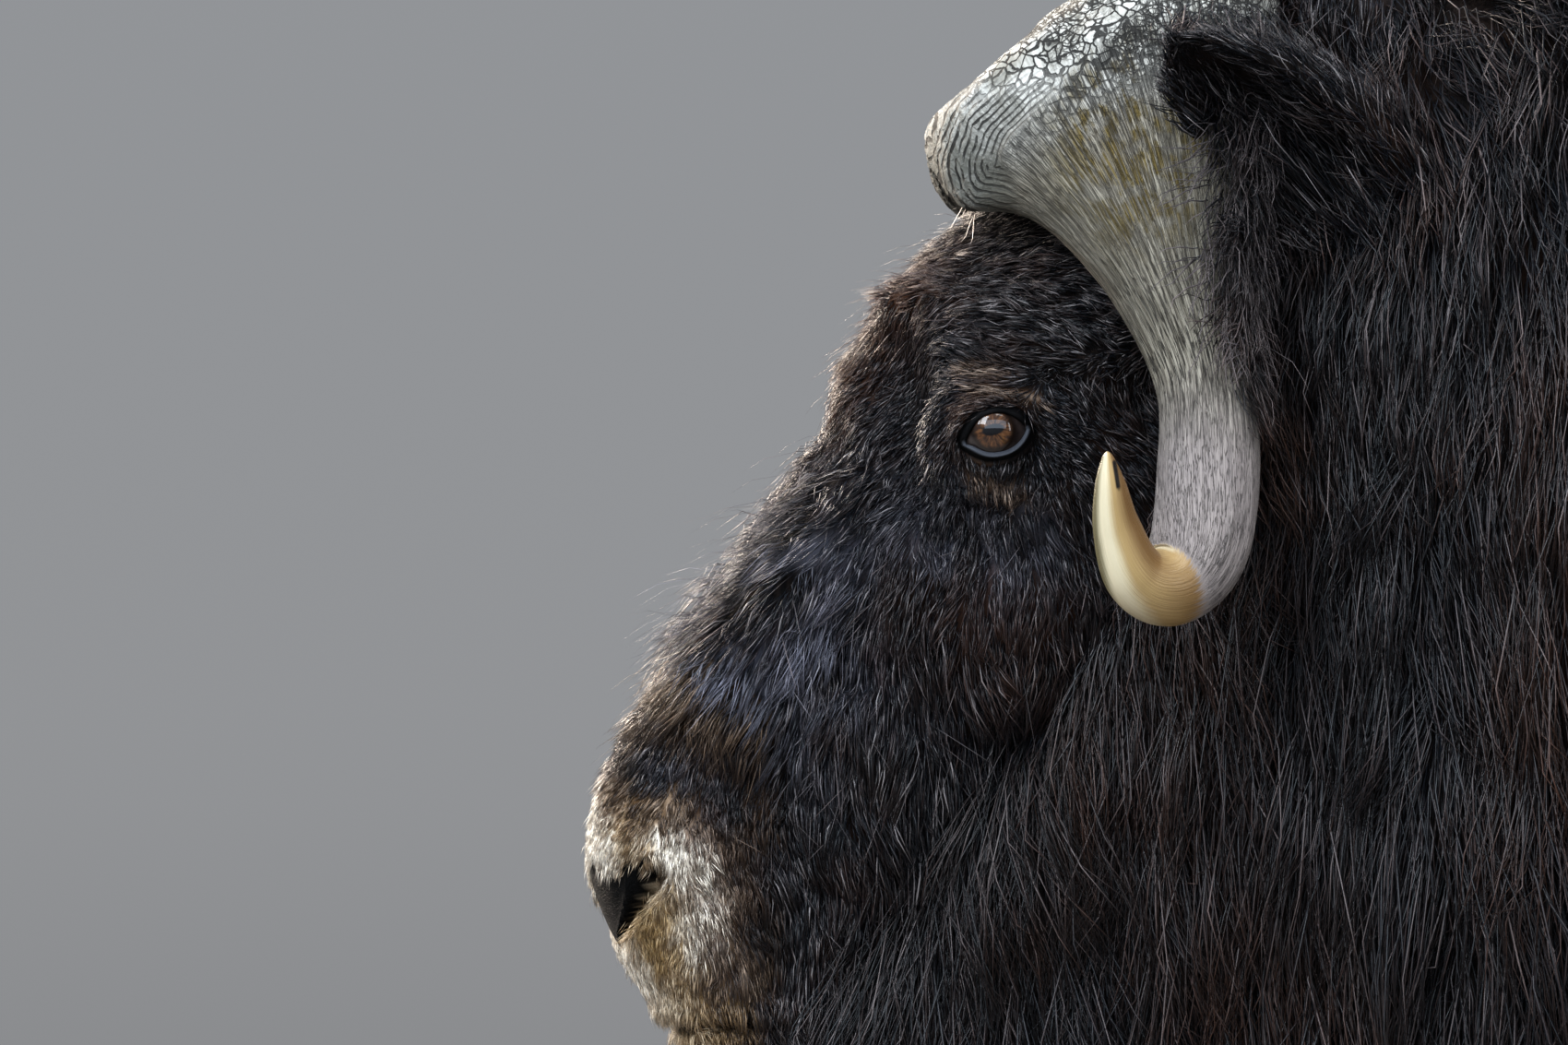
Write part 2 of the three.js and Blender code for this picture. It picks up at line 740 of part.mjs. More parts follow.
const materials = {
  coat: new THREE.MeshStandardMaterial({ color: 0x221b19, roughness: 0.85 }),
  saddle: new THREE.MeshStandardMaterial({ color: 0x4a392c, roughness: 0.9 }),
  stocking: new THREE.MeshStandardMaterial({ color: 0x9c8f7e, roughness: 0.9 }),
  horn: new THREE.MeshStandardMaterial({ color: 0x9a948a, roughness: 0.6 }),
  eye: new THREE.MeshStandardMaterial({ color: 0x2a1408, roughness: 0.1 }),
  hoof: new THREE.MeshStandardMaterial({ color: 0x2b2825, roughness: 0.6 }),
};

const nodes = [];
const add = (name, solid, material) => nodes.push([name, solid, materials[material]]);

const joined = (pieces, x, y, room = bodyRoom) => largest(clearOf(within(pieces, x, y), room));
const crown = [...hornRoom, ...earRoom];
const headPieces = [core, ...ruffLocks, ...beardLocks];
add("head", joined([face, ...headPieces], [-far, neckFrontX], undefined, crown), "coat");
for (const [name, side] of sides) {
  add(`horn_${name}`, hornSolid(side), "horn");
  add(`ear_${name}`, largest(clearOf(earSolid(side), hornRoom)), "coat");
  add(`eye_${name}`, eyeBall(side), "eye");
}
const neckLocks = both.flatMap((side) => flankLocks(side, neckSpan, 2, neckTiers));
const neckPieces = [core, headCore, ...neckLocks, ...chestLocks, ...maneTop];
add("neck", joined(neckPieces, neckSpan, undefined, [...bodyRoom, ...crown]), "coat");
add("torso", joined([core, ...backLocks], [neckBackX, rearX], [-backHalfWidth, backHalfWidth]), "saddle");
add("hindquarters", joined([core, ...rearLocks, ...rearSideLocks], [rearX, far]), "coat");
for (const [name, side] of sides) {
  const y = side < 0 ? [-far, -backHalfWidth] : [backHalfWidth, far];
  const spans = { shoulder: [neckBackX, flankFrontX], flank: [flankFrontX, rumpFrontX], rump: [rumpFrontX, rearX] };
  for (const [part, span] of Object.entries(spans)) {
    add(`${part}_${name}`, joined([core, ...flankLocks(side, span, 4, sideTiers)], span, y), "coat");
  }
}
for (const [name, [rows, side]] of Object.entries(legs)) {
  add(name, legSolid(rows, side), "stocking");
  const scale = rows === foreleg ? 1 : 0.93;
  add(`${name}_hoof_inner`, toeSolid(rows, side, -side, scale), "hoof");
  add(`${name}_hoof_outer`, toeSolid(rows, side, side, scale), "hoof");
}
add("tail", tailSolid(), "coat");

const muskox = new THREE.Group();
for (const [name, solid, material] of nodes) {
  const made = solid.getMesh();
  const geometry = new THREE.BufferGeometry();
  geometry.setAttribute("position", new THREE.BufferAttribute(made.vertProperties, 3));
  geometry.setIndex(new THREE.BufferAttribute(made.triVerts, 1));
  geometry.computeVertexNormals();
  const mesh = new THREE.Mesh(geometry, material);
  mesh.name = name;
  muskox.add(mesh);
}

// The origin is on the floor under the middle of the whole
const whole = new THREE.Box3().setFromObject(muskox, true);
const middle = whole.getCenter(new THREE.Vector3());
muskox.position.set(-middle.x, -middle.y, -whole.min.z);
muskox.updateMatrixWorld(true);

export default muskox;
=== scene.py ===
import math
import bmesh
import bpy
import numpy as np
from mathutils import Matrix, Vector, noise
from mathutils.bvhtree import BVHTree
from mathutils.kdtree import KDTree

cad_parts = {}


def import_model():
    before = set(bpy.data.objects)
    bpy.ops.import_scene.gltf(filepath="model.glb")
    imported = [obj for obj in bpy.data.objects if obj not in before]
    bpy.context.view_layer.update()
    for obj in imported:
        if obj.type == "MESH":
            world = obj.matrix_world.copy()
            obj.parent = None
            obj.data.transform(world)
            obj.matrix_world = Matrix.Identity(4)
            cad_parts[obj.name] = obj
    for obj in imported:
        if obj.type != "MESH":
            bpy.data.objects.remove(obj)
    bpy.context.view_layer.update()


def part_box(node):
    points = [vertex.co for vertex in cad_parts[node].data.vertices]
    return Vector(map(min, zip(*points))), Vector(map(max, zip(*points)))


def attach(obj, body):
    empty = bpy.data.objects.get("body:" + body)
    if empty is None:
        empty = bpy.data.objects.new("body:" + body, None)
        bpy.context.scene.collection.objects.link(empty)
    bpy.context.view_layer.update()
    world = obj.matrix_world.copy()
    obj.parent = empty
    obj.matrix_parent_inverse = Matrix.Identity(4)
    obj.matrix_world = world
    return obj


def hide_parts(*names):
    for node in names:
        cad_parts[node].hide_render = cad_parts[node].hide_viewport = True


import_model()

# The tables below are in millimetres, in the frame the animal was drawn in; the eyes say where that lies here
sides = {"left": -1, "right": 1}
eyeAt = np.array([-930.0, 107.0, 960.0])
mergeWithin = 2e-6  # metres


def middleOf(node):
    low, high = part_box(node)
    return (np.array(low) + np.array(high)) / 2


anchor = (middleOf("eye_left") + middleOf("eye_right")) / 2
shift = anchor - np.array([eyeAt[0], 0, eyeAt[2]]) / 1000


def world(points):
    return np.asarray(points, float) / 1000 + shift


# From 0 at low to 1 at high, smoothly
def ease(low, high, x):
    t = np.clip((np.asarray(x, float) - low) / (high - low), 0, 1)
    return t * t * (3 - 2 * t)


# A smooth hill of height 1
def hill(x, reach, middle=0):
    return np.exp(-((x - middle) / reach) ** 2)


def unit(v):
    return v / np.maximum(np.linalg.norm(v, axis=-1, keepdims=True), 1e-9)


# A smooth curve through the rows of a table, the place counted in rows
def along(rows, place):
    rows = np.asarray(rows, float)
    last = len(rows) - 1
    place = np.clip(np.asarray(place, float), 0, last)
    i = np.minimum(place.astype(int), last - 1)
    t = (place - i)[:, None]
    p, a, b, q = rows[np.maximum(i - 1, 0)], rows[i], rows[i + 1], rows[np.minimum(i + 2, last)]
    rise, fall, step = (b - p) / 2, (q - a) / 2, b - a
    return a + t * (rise + t * (3 * step - 2 * rise - fall + t * (rise + fall - 2 * step)))


# A table's columns at even steps from its first row to its last
def evenly(table, count):
    return along(table, np.linspace(0, len(table) - 1, count)).T


lattice = np.random.default_rng(11).random((32, 32, 32)) * 2 - 1


# Smooth noise from -1 to 1, its lumps about size across
def grain(points, size, offset=0.0):
    q = np.asarray(points, float) / size + 57.3 + offset
    i = np.floor(q).astype(int)
    f = q - i
    f = f * f * (3 - 2 * f)
    out = np.zeros(len(q))
    for dx in (0, 1):
        for dy in (0, 1):
            for dz in (0, 1):
                share = np.ones(len(q))
                for axis, d in enumerate((dx, dy, dz)):
                    share = share * (f[:, axis] if d else 1 - f[:, axis])
                out += share * lattice[(i[:, 0] + dx) & 31, (i[:, 1] + dy) & 31, (i[:, 2] + dz) & 31]
    return out


def placed(name, data):
    obj = bpy.data.objects.new(name, data)
    bpy.context.scene.collection.objects.link(obj)
    return obj


# An object from a bmesh, which is then let go
def meshed(name, work):
    mesh = bpy.data.meshes.new(name)
    work.to_mesh(mesh)
    work.free()
    return placed(name, mesh)


# A closed tube of rings: points[row, column], the columns going round; atlas is its left, foot, width, height in UV
class Shell:
    def __init__(self, points, atlas):
        self.points = points
        self.rows, self.columns = points.shape[:2]
        self.atlas = atlas
        self.settle()

    def settle(self):
        p = self.points
        onward = np.gradient(p, axis=0)
        around = np.roll(p, -1, 1) - np.roll(p, 1, 1)
        n = unit(np.cross(around, onward))
        centre = p.mean(1, keepdims=True)
        if np.sum(n * (p - centre)) < 0:
            n = -n
        self.normals = n

    def flat(self):
        return self.points.reshape(-1, 3)

    # Each point moves along its normal, or along way, by its own amount
    def swell(self, amount, way=None):
        way = self.normals if way is None else way
        self.points = self.points + amount.reshape(self.points.shape[:2])[..., None] * way
        self.settle()

    def faces(self, first=0):
        rows, columns = self.rows, self.columns
        index = np.arange(rows * columns).reshape(rows, columns) + first
        right = np.roll(index, -1, 1)
        quads = np.stack([index[:-1], right[:-1], right[1:], index[1:]], -1).reshape(-1, 4)
        a, b, d = (self.flat()[quads[:, k] - first] for k in (0, 1, 3))
        turned = np.sum(np.cross(b - a, d - a) * self.normals.reshape(-1, 3)[quads[:, 0] - first]) < 0
        caps = [index[0][::-1].tolist(), index[-1].tolist()]
        if turned:
            quads, caps = quads[:, ::-1], [cap[::-1] for cap in caps]
        return quads.tolist() + caps

    def tree(self):
        return BVHTree.FromPolygons([Vector(p) for p in self.flat()], self.faces())


# Rings of a squared ellipse; the columns start at the middle of the drop side
def tube(centre, wide, rise, drop, square, columns, atlas):
    turn = 2 * math.pi * np.arange(columns) / columns + math.pi
    c, s = np.cos(turn)[None, :], np.sin(turn)[None, :]
    n = np.broadcast_to(np.asarray(square, float), (len(centre),))[:, None]
    reach = (np.abs(c) ** n + np.abs(s) ** n) ** (-1 / n)
    up = np.where(c[..., None] > 0, rise[:, None, :], drop[:, None, :])
    points = centre[:, None, :] + (s * reach)[..., None] * wide[:, None, :] + (np.abs(c) * reach)[..., None] * up
    return Shell(points, atlas)


# Distance in the side view from a polyline, and how far along it from 0 to 1
def lineGap(points, line):
    line = np.asarray(line, float)
    flat = points[:, [0, 2]]
    best, share = np.full(len(flat), 1e9), np.zeros(len(flat))
    for k, (a, b) in enumerate(zip(line[:-1], line[1:])):
        t = np.clip(((flat - a) @ (b - a)) / ((b - a) @ (b - a)), 0, 1)
        away = np.linalg.norm(flat - a - t[:, None] * (b - a), axis=1)
        share = np.where(away < best, (k + t) / (len(line) - 1), share)
        best = np.minimum(best, away)
    return best, share


# Both sides laid on the one with y over zero
def folded(points):
    return points * [1, 0, 1] + np.abs(points) * [0, 1, 0]


# Head
headForm = {
    "rows": 236, "columns": 184, "atlas": (0.01, 0.01, 0.5, 0.48), "poll": np.array([-800.0, 0, 1100]),
    "noseward": unit(np.array([-0.62, 0, -0.785])), "browward": unit(np.array([-0.785, 0, 0.62])),
    "sections": [
        # along, bridge, jaw, half-width, widest, square
        [-130, 60, -150, 100, -20, 2.1],
        [-60, 78, -175, 106, -20, 2.1],
        [10, 88, -185, 110, -15, 2.2],
        [80, 98, -185, 113, -5, 2.2],
        [140, 111, -178, 115, 5, 2.3],
        [200, 108, -168, 110, 0, 2.3],
        [260, 97, -156, 99, -10, 2.3],
        [320, 91, -147, 89, -15, 2.3],
        [380, 88, -142, 82, -20, 2.3],
        [430, 75, -143, 79, -25, 2.4],
        [475, 65, -146, 77, -30, 2.5],
        [510, 44, -143, 71, -40, 2.5],
        [532, 12, -130, 60, -55, 2.3],
        [546, -25, -112, 42, -68, 2.1],
        [551, -52, -92, 14, -73, 2],
    ],
    "mounds": [
        # place, reach, rise
        [(-938, 120, 1000), 40, 12],
        [(-890, 118, 962), 34, 7],
        [(-932, 118, 955), 26, -6],
        [(-985, 85, 975), 38, -8],
        [(-925, 112, 905), 34, -5],
        [(-845, 110, 880), 75, 12],
        [(-1108, 66, 742), 30, 7],
    ],
    "ridges": [
        # places in the side view, reach, rise
        [[(-1008, 1018), (-985, 1030), (-950, 1032), (-915, 1020), (-877, 998)], 18, 18],
        [[(-996, 1000), (-984, 970), (-970, 938), (-955, 915)], 20, -22],
        [[(-962, 988), (-930, 994), (-896, 984)], 9, -4],
        [[(-1000, 955), (-1002, 900), (-1008, 840)], 17, -15],
        [[(-962, 922), (-930, 912), (-895, 928)], 14, 8],
        [[(-1050, 890), (-1072, 850), (-1085, 815)], 20, 11],
        [[(-1060, 770), (-1035, 720), (-1040, 670)], 20, -12],
        [[(-985, 830), (-940, 800), (-900, 790)], 26, -9],
    ],
    # how deep the coat is: all over, on the bridge, the forehead, the jaw and the muzzle
    "coat": {"base": 7, "bridge": 9, "forehead": 4, "jaw": 8, "muzzle": 2.6},
}


# Distance along the head and height over its axis
def onHead(points):
    away = points - headForm["poll"]
    return away @ headForm["noseward"], away @ headForm["browward"]


def furDepth(points):
    s, h = onHead(points)
    coat = headForm["coat"]
    deep = coat["base"] + coat["bridge"] * ease(60, 88, h) * ease(210, 250, s) * ease(450, 400, s)
    deep += coat["forehead"] * ease(40, 90, h) * ease(230, 180, s)
    deep += coat["jaw"] * ease(-60, -120, h) * ease(500, 420, s)
    muzzle = ease(430, 490, s)
    return deep * (1 - muzzle) + coat["muzzle"] * muzzle


def headShell():
    form = headForm
    s, bridge, jaw, half, widest, square = evenly(form["sections"], form["rows"])
    centre = form["poll"] + s[:, None] * form["noseward"] + widest[:, None] * form["browward"]
    shell = tube(centre, half[:, None] * [0, 1, 0], (bridge - widest)[:, None] * form["browward"],
                 (jaw - widest)[:, None] * form["browward"], square, form["columns"], form["atlas"])
    out, flat = unit(shell.points - centre[:, None, :]), folded(shell.flat())
    push = np.zeros(len(flat))
    for at, reach, rise in form["mounds"]:
        push += rise * hill(np.linalg.norm(flat - at, axis=1), reach)
    for line, reach, rise in form["ridges"]:
        push += rise * hill(lineGap(flat, line)[0], reach) * ease(25, 60, flat[:, 1])
    shell.swell(push, out)
    shell.points = shell.points - furDepth(shell.flat()).reshape(out.shape[:2])[..., None] * shell.normals
    return shell


# Muzzle
muzzleForm = {
    "nostril": [(-1111, 727), (-1114, 720), (-1118, 711), (-1123, 701), (-1128, 691)],
    "nostrilWide": ([0, 0.25, 0.6, 1], [6.5, 8, 5, 2]), "nostrilDeep": 17, "nostrilInward": np.array([0.72, -0.66, 0.2]),
    "mouth": [(-990, 676), (-1000, 664), (-1017, 652), (-1045, 646), (-1074, 643), (-1110, 642)],
    "rim": 2.2, "seam": 6, "lips": 2.6, "cleft": 3,
    "pad": np.array([
        (-1160, 731), (-1146, 731), (-1139, 728), (-1132, 726), (-1126, 730), (-1118, 732), (-1111, 729), (-1108, 724),
        (-1110, 717), (-1113, 711), (-1116, 704), (-1119, 697), (-1124, 690), (-1130, 683), (-1134, 680), (-1150, 680),
        (-1160, 700), (-1160, 731)], float),
    # between the nostrils only a narrow strip is bare: distances from the middle and the strip's heights there
    "stripTop": ([0, 4, 10, 20, 30], [704, 710, 727, 736, 745]), "stripFoot": ([0, 8, 18, 30], [694, 692, 684, 672]),
}


# 1 on the bare skin round the nostrils and between them
def nosePad(points):
    flat, pad = folded(points), muzzleForm["pad"]
    away, _ = lineGap(flat, pad)
    x, z = flat[:, 0], flat[:, 2]
    crossed = np.zeros(len(flat), bool)
    for (x0, z0), (x1, z1) in zip(pad[:-1], pad[1:]):
        if z0 != z1:
            crossed ^= ((z0 > z) != (z1 > z)) & (x < x0 + (z - z0) * (x1 - x0) / (z1 - z0))
    rough = 1.6 * grain(flat, 6)
    strip = ease(2, -2, z - np.interp(flat[:, 1], *muzzleForm["stripTop"]) + rough)
    strip = strip * ease(-2, 2, z - np.interp(flat[:, 1], *muzzleForm["stripFoot"]) + rough)
    return ease(-2.0, 1.5, np.where(crossed, away, -away) + rough) * strip


def carveMuzzle(shell):
    form, flat, n = muzzleForm, folded(shell.flat()), shell.normals.reshape(-1, 3)
    n = folded(n * np.sign(shell.flat()[:, 1:2] + 1e-9) * [0, 1, 0] + n * [1, 0, 1])
    away, share = lineGap(flat, form["nostril"])
    wide = np.interp(share, *form["nostrilWide"])
    side = ease(14, 30, flat[:, 1])
    pit = form["nostrilDeep"] * ease(1.05, 0.35, away / wide) * side
    rim = form["rim"] * hill(away / wide, 0.35, 1.5) * side
    gape, share = lineGap(flat, form["mouth"])
    seam = form["seam"] * hill(gape, 2.6) * ease(0, 0.15, share)
    lips = form["lips"] * hill(gape, 5, 8) * ease(0, 0.3, share)
    cleft = form["cleft"] * hill(flat[:, 1], 2.2) * ease(-1108, -1120, flat[:, 0]) * ease(650, 664, flat[:, 2])
    moved = (rim - seam - cleft + lips)[:, None] * n + pit[:, None] * form["nostrilInward"]
    moved[:, 1] *= np.sign(shell.flat()[:, 1])
    shell.points = shell.points + moved.reshape(shell.points.shape)
    shell.settle()


head = headShell()
carveMuzzle(head)
print("head", head.points.shape)

# The coat's whole mass behind the head
coatForm = {
    "rows": 190, "ends": (0.15, 1.04), "atlas": (0.01, 0.51, 0.98, 0.48),
    "columns": {"ceiling": 5, "inner": 9, "hem": 6, "side": 30, "upper": 26},
    "outline": [
        # x, top, hem, half-width, widest, all to the tips of the hair
        [-1062, 632, 588, 16, 612],
        [-1020, 680, 560, 58, 630],
        [-960, 780, 520, 92, 680],
        [-900, 890, 490, 116, 735],
        [-840, 1050, 465, 138, 780],
        [-785, 1178, 450, 168, 790],
        [-728, 1222, 435, 212, 785],
        [-660, 1262, 415, 256, 775],
        [-590, 1302, 385, 292, 765],
        [-520, 1345, 350, 325, 760],
        [-430, 1378, 310, 365, 750],
        [-330, 1380, 290, 392, 740],
        [-200, 1345, 285, 410, 730],
        [-50, 1295, 285, 418, 720],
        [130, 1265, 285, 420, 720],
        [330, 1260, 285, 416, 725],
        [530, 1255, 285, 405, 730],
        [700, 1230, 290, 385, 740],
        [840, 1180, 300, 350, 750],
        [950, 1105, 325, 290, 770],
        [1035, 1000, 370, 200, 790],
        [1083, 900, 440, 92, 800],
        [1096, 850, 520, 20, 760],
    ],
    "deep": 30,  # from the wool's surface to the tips at the sides
    "hemDeep": 55, "hemRound": 25, "bellyZ": 600, "square": 2.3, "skirtInset": 0.16, "skirtThick": (20, 60),
    "lumps": [(7, 1, 110), (5, 0.22, 34), (2.5, 0.2, 15)],  # height, how drawn out they are downwards, size
}


def bodyShell():
    form, parts = coatForm, coatForm["columns"]
    places = np.linspace(form["ends"][0], len(form["outline"]) - form["ends"][1], form["rows"])
    x, top, hem, half, widest = along(form["outline"], places).T
    top = top - np.minimum(form["deep"], 0.2 * half + 6)
    half = half - np.minimum(form["deep"], 0.28 * half)
    hem = hem + form["hemDeep"] * ease(0, 120, half)
    hollow = ease(-600, -500, x) * ease(1010, 930, x)
    ceiling = hem + hollow * (form["bellyZ"] - hem)
    outer = half * (1 - form["skirtInset"])
    inner = outer - form["skirtThick"][1] * hollow - form["skirtThick"][0]
    curl = np.minimum(form["hemRound"], 0.3 * half)
    low = np.minimum(hem + curl, ceiling)

    def column(v):
        return v[:, None]

    def across(part, end=0):
        return (np.arange(parts[part]) / (parts[part] - end))[None, :]

    y, z = [], []
    t = across("ceiling")
    y.append(column(inner) * t), z.append(column(ceiling) + 0 * t)
    t = across("inner")
    y.append(column(inner) + 0 * t), z.append(column(ceiling) + column(low - ceiling) * t)
    t = math.pi * across("hem")
    y.append(column((outer + inner) / 2) - column((outer - inner) / 2) * np.cos(t))
    z.append(column(low) - column(np.minimum(curl, low - hem)) * np.sin(t))
    t = 1 - across("side")
    y.append(column(half) * (1 - form["skirtInset"] * t ** 2)), z.append(column(widest) - column(widest - hem - curl) * t)
    t = np.maximum(math.pi / 2 * (1 - across("upper", 1)), 0)
    power = 2 / form["square"]
    y.append(column(half) * np.sin(t) ** power), z.append(column(widest) + column(top - widest) * np.cos(t) ** power)
    y, z = np.hstack(y), np.hstack(z)
    y, z = np.hstack([y, -y[:, -2:0:-1]]), np.hstack([z, z[:, -2:0:-1]])
    shell = Shell(np.stack([np.broadcast_to(column(x), y.shape), y, z], -1), form["atlas"])
    flat = shell.flat()
    lumps = sum(height * grain(flat * [1, 1, drawn], size) for height, drawn, size in form["lumps"])
    under = ease(120, 30, np.abs(flat[:, 1])) * ease(640, 560, flat[:, 2])
    shell.swell(lumps * (1 - under))
    return shell


body = bodyShell()
print("body", body.points.shape)

# Legs, ears and tail
legForm = {
    "rows": 76, "columns": 40, "square": 2.2, "coat": 4.5, "tendon": 3.2,
    "foreleg": [
        # z, x, y, half fore-aft, half across
        [760, -318, 168, 84, 62], [680, -322, 170, 78, 58], [600, -328, 172, 68, 54], [520, -330, 173, 58, 49],
        [450, -330, 174, 50, 44], [385, -334, 175, 49, 44], [330, -330, 175, 41, 39], [250, -326, 175, 36, 36],
        [180, -324, 175, 38, 38], [130, -322, 175, 44, 42], [92, -328, 175, 44, 43], [62, -336, 175, 53, 54],
    ],
    "hindleg": [
        [760, 700, 172, 108, 62], [680, 716, 174, 96, 60], [600, 742, 175, 80, 55], [530, 775, 176, 62, 48],
        [465, 805, 176, 52, 42], [405, 814, 176, 50, 40], [340, 803, 176, 42, 37], [260, 792, 176, 37, 35],
        [180, 782, 176, 38, 37], [130, 778, 176, 43, 41], [92, 770, 176, 43, 42], [62, 760, 176, 51, 52],
    ],
}
legKinds = ("foreleg", "hindleg")
earForm = {
    "rows": 56, "columns": 48, "coat": 2, "cup": 24,
    "root": (-729, 112, 1066), "tip": (-839, 222, 1166), "open": (-0.35, 0.9, -0.25),
    # share of the length, half-width, half-thickness, bow
    "sections": [[0, 46, 20, 0], [0.18, 52, 24, 3], [0.4, 52, 23, 7], [0.62, 43, 17, 8], [0.82, 27, 10, 5],
                 [0.94, 13, 6, 2], [1, 2, 1.6, 0]],
}
tailForm = {
    "rows": 30, "columns": 28, "coat": 4, "atlas": (0.9, 0.01, 0.08, 0.1),
    # x, z, half-width, half-thickness
    "sections": [[975, 1005, 30, 26], [1024, 992, 31, 25], [1062, 955, 30, 22], [1082, 900, 25, 17], [1088, 850, 10, 7]],
}


def legShell(kind, side, atlas):
    columns, coat = legForm["columns"], legForm["coat"]
    z, x, y, foreAft, across = evenly(legForm[kind], legForm["rows"])
    rise = (across - coat)[:, None] * [0, 1.0, 0]
    shell = tube(np.stack([x, side * y, z], -1), (foreAft - coat)[:, None] * [1.0, 0, 0], rise, -rise,
                 legForm["square"], columns, atlas)
    flat = shell.flat()
    tendon = legForm["tendon"] * ease(330, 280, flat[:, 2]) * ease(120, 170, flat[:, 2])
    back = (flat[:, 0] - np.repeat(x, columns)) / np.repeat(foreAft, columns)
    shell.swell(-tendon * hill(back, 0.22, 0.35))
    return shell


def earShell(side, atlas):
    flip, coat = np.array([1, side, 1]), earForm["coat"]
    root, tip = np.array(earForm["root"]) * flip, np.array(earForm["tip"]) * flip
    onward = unit(tip - root)
    facing = np.array(earForm["open"]) * flip
    facing = unit(facing - facing @ onward * onward)
    across = np.cross(facing, onward)
    place, half, thick, bow = evenly(earForm["sections"], earForm["rows"])
    centre = root + place[:, None] * (tip - root) - bow[:, None] * facing
    rise = (thick - coat)[:, None].clip(0.5) * facing
    shell = tube(centre, (half - coat)[:, None].clip(0.5) * across, rise, -rise, 2, earForm["columns"], atlas)
    # the open side is pressed in between its two rims
    away = shell.points - centre[:, None, :]
    spread, front = (away @ across) / half.clip(1)[:, None], (away @ facing) / thick.clip(1)[:, None]
    press = ease(0.1, 0.75, front) * ease(0.86, 0.35, np.abs(spread))
    press = press * (ease(0.1, 0.35, place) * ease(1, 0.85, place))[:, None]
    shell.swell(-earForm["cup"] * press, facing)
    shell.onward, shell.facing = onward, facing
    return shell


def tailShell():
    x, z, wide, thick = evenly(tailForm["sections"], tailForm["rows"])
    back = unit(np.stack([np.gradient(z), 0 * x, -np.gradient(x)], -1))
    rise = (thick - tailForm["coat"])[:, None] * back
    return tube(np.stack([x, 0 * x, z], -1), (wide - tailForm["coat"])[:, None] * [0, 1.0, 0], rise, -rise, 2,
                tailForm["columns"], tailForm["atlas"])


legs = {(kind, name): legShell(kind, side, (0.53 + 0.12 * i, 0.01, 0.1, 0.3))
        for i, (kind, name, side) in enumerate((k, n, s) for k in legKinds for n, s in sides.items())}
ears = {name: earShell(side, (0.53 + 0.2 * i, 0.33, 0.18, 0.15)) for i, (name, side) in enumerate(sides.items())}
tail = tailShell()
print("legs, ears, tail")

# Eyelids: a patch of rings round each eye, from the lid's edge on the eyeball out to the face
lidForm = {
    "facing": unit(np.array([-0.14, 1, 0.04])),  # y turned for the left
    "tilt": math.radians(12), "reach": (43, 36), "columns": 84,
    "shares": np.concatenate([[0, 0, 0], np.linspace(0.11, 1, 39)]),
    "edgeBalls": (18.9, 20.3, 21.5), "lidBall": 22.2,  # radii of the balls that the first rings and the lids lie on
    # folds along the rings from the edge outwards: height, width, place
    "upper": [(-2.6, 0.045, 0.16), (-1.5, 0.05, 0.36), (1.6, 0.06, 0.25)],
    "lower": [(-1.8, 0.05, 0.2), (-1.3, 0.06, 0.42)],
}
lidTurn = 2 * math.pi * (np.arange(lidForm["columns"]) + 0.5) / lidForm["columns"]


def lidAxes(side):
    out = lidForm["facing"] * [1, side, 1]
    front = np.array([-math.cos(lidForm["tilt"]), 0, -math.sin(lidForm["tilt"])])
    front = unit(front - front @ out * out)
    up = np.cross(front, out) * side
    return out, front, up if up[2] > 0 else -up


# The edge of the open eye: front positive, up positive
def almond(turn):
    c, s = np.cos(turn), np.sin(turn)
    f = 15 * np.sign(c) * np.abs(c) ** 0.92
    top = 10.8 * (1 - np.abs(f / 15.2) ** 2.1) ** 0.72
    low = -9.6 * (1 - np.abs(f / 15.2) ** 2.3) ** 0.8
    corner = (c > 0) * np.abs(c) ** 10
    return f - 2.6 + 2.5 * corner, np.where(s >= 0, top, low) - 2.4 - 0.9 * corner


def lidShell(side, faceTree, atlas):
    out, front, up = lidAxes(side)
    centre, turn = eyeAt * [1, side, 1], lidTurn
    f0, u0 = almond(turn)
    f1, u1 = lidForm["reach"][0] * np.cos(turn), lidForm["reach"][1] * np.sin(turn)
    rim = 1.4 - 0.6 * np.sin(turn)  # the wet edge is broader below
    rows = []
    for k, r in enumerate(lidForm["shares"]):
        f, u = f0 + (f1 - f0) * r, u0 + (u1 - u0) * r
        if k == 0:
            f, u = f0 * 1.06, u0 * 1.12
        elif k == 2:
            f, u = f0 + rim * np.cos(turn) * 0.8, u0 + rim * np.sin(turn)
        reach = np.hypot(f, u)
        if k < len(lidForm["edgeBalls"]):
            lift = np.sqrt(np.maximum(lidForm["edgeBalls"][k] ** 2 - reach ** 2, 1))
        else:
            ball = np.sqrt(np.maximum(lidForm["lidBall"] ** 2 - reach ** 2, 0))
            starts = [centre + a * front + b * up + 90 * out for a, b in zip(f, u)]
            hits = [faceTree.ray_cast(Vector(start), Vector(-out), 150)[0] for start in starts]
            ground = np.array([(np.array(hit) - centre) @ out if hit else -8 for hit in hits])
            over = 0.5 * (ball + ground + np.sqrt((ball - ground) ** 2 + 30))
            lift = over * ease(1.0, 0.82, r) + ground * ease(0.82, 1.0, r)
            upper = ease(-2, 3, u)
            for part, share in (("upper", upper), ("lower", 1 - upper)):
                for height, width, place in lidForm[part]:
                    lift = lift + share * height * hill(r, width, place)
        if k == len(lidForm["shares"]) - 1:
            lift = lift - 3
        rows.append(centre + f[:, None] * front + u[:, None] * up + lift[:, None] * out)
    # the back of the patch, inside the head, closes it
    rows.append(centre + f1[:, None] * front * 0.9 + u1[:, None] * up * 0.9 - 14 * out)
    return Shell(np.array(rows), atlas)


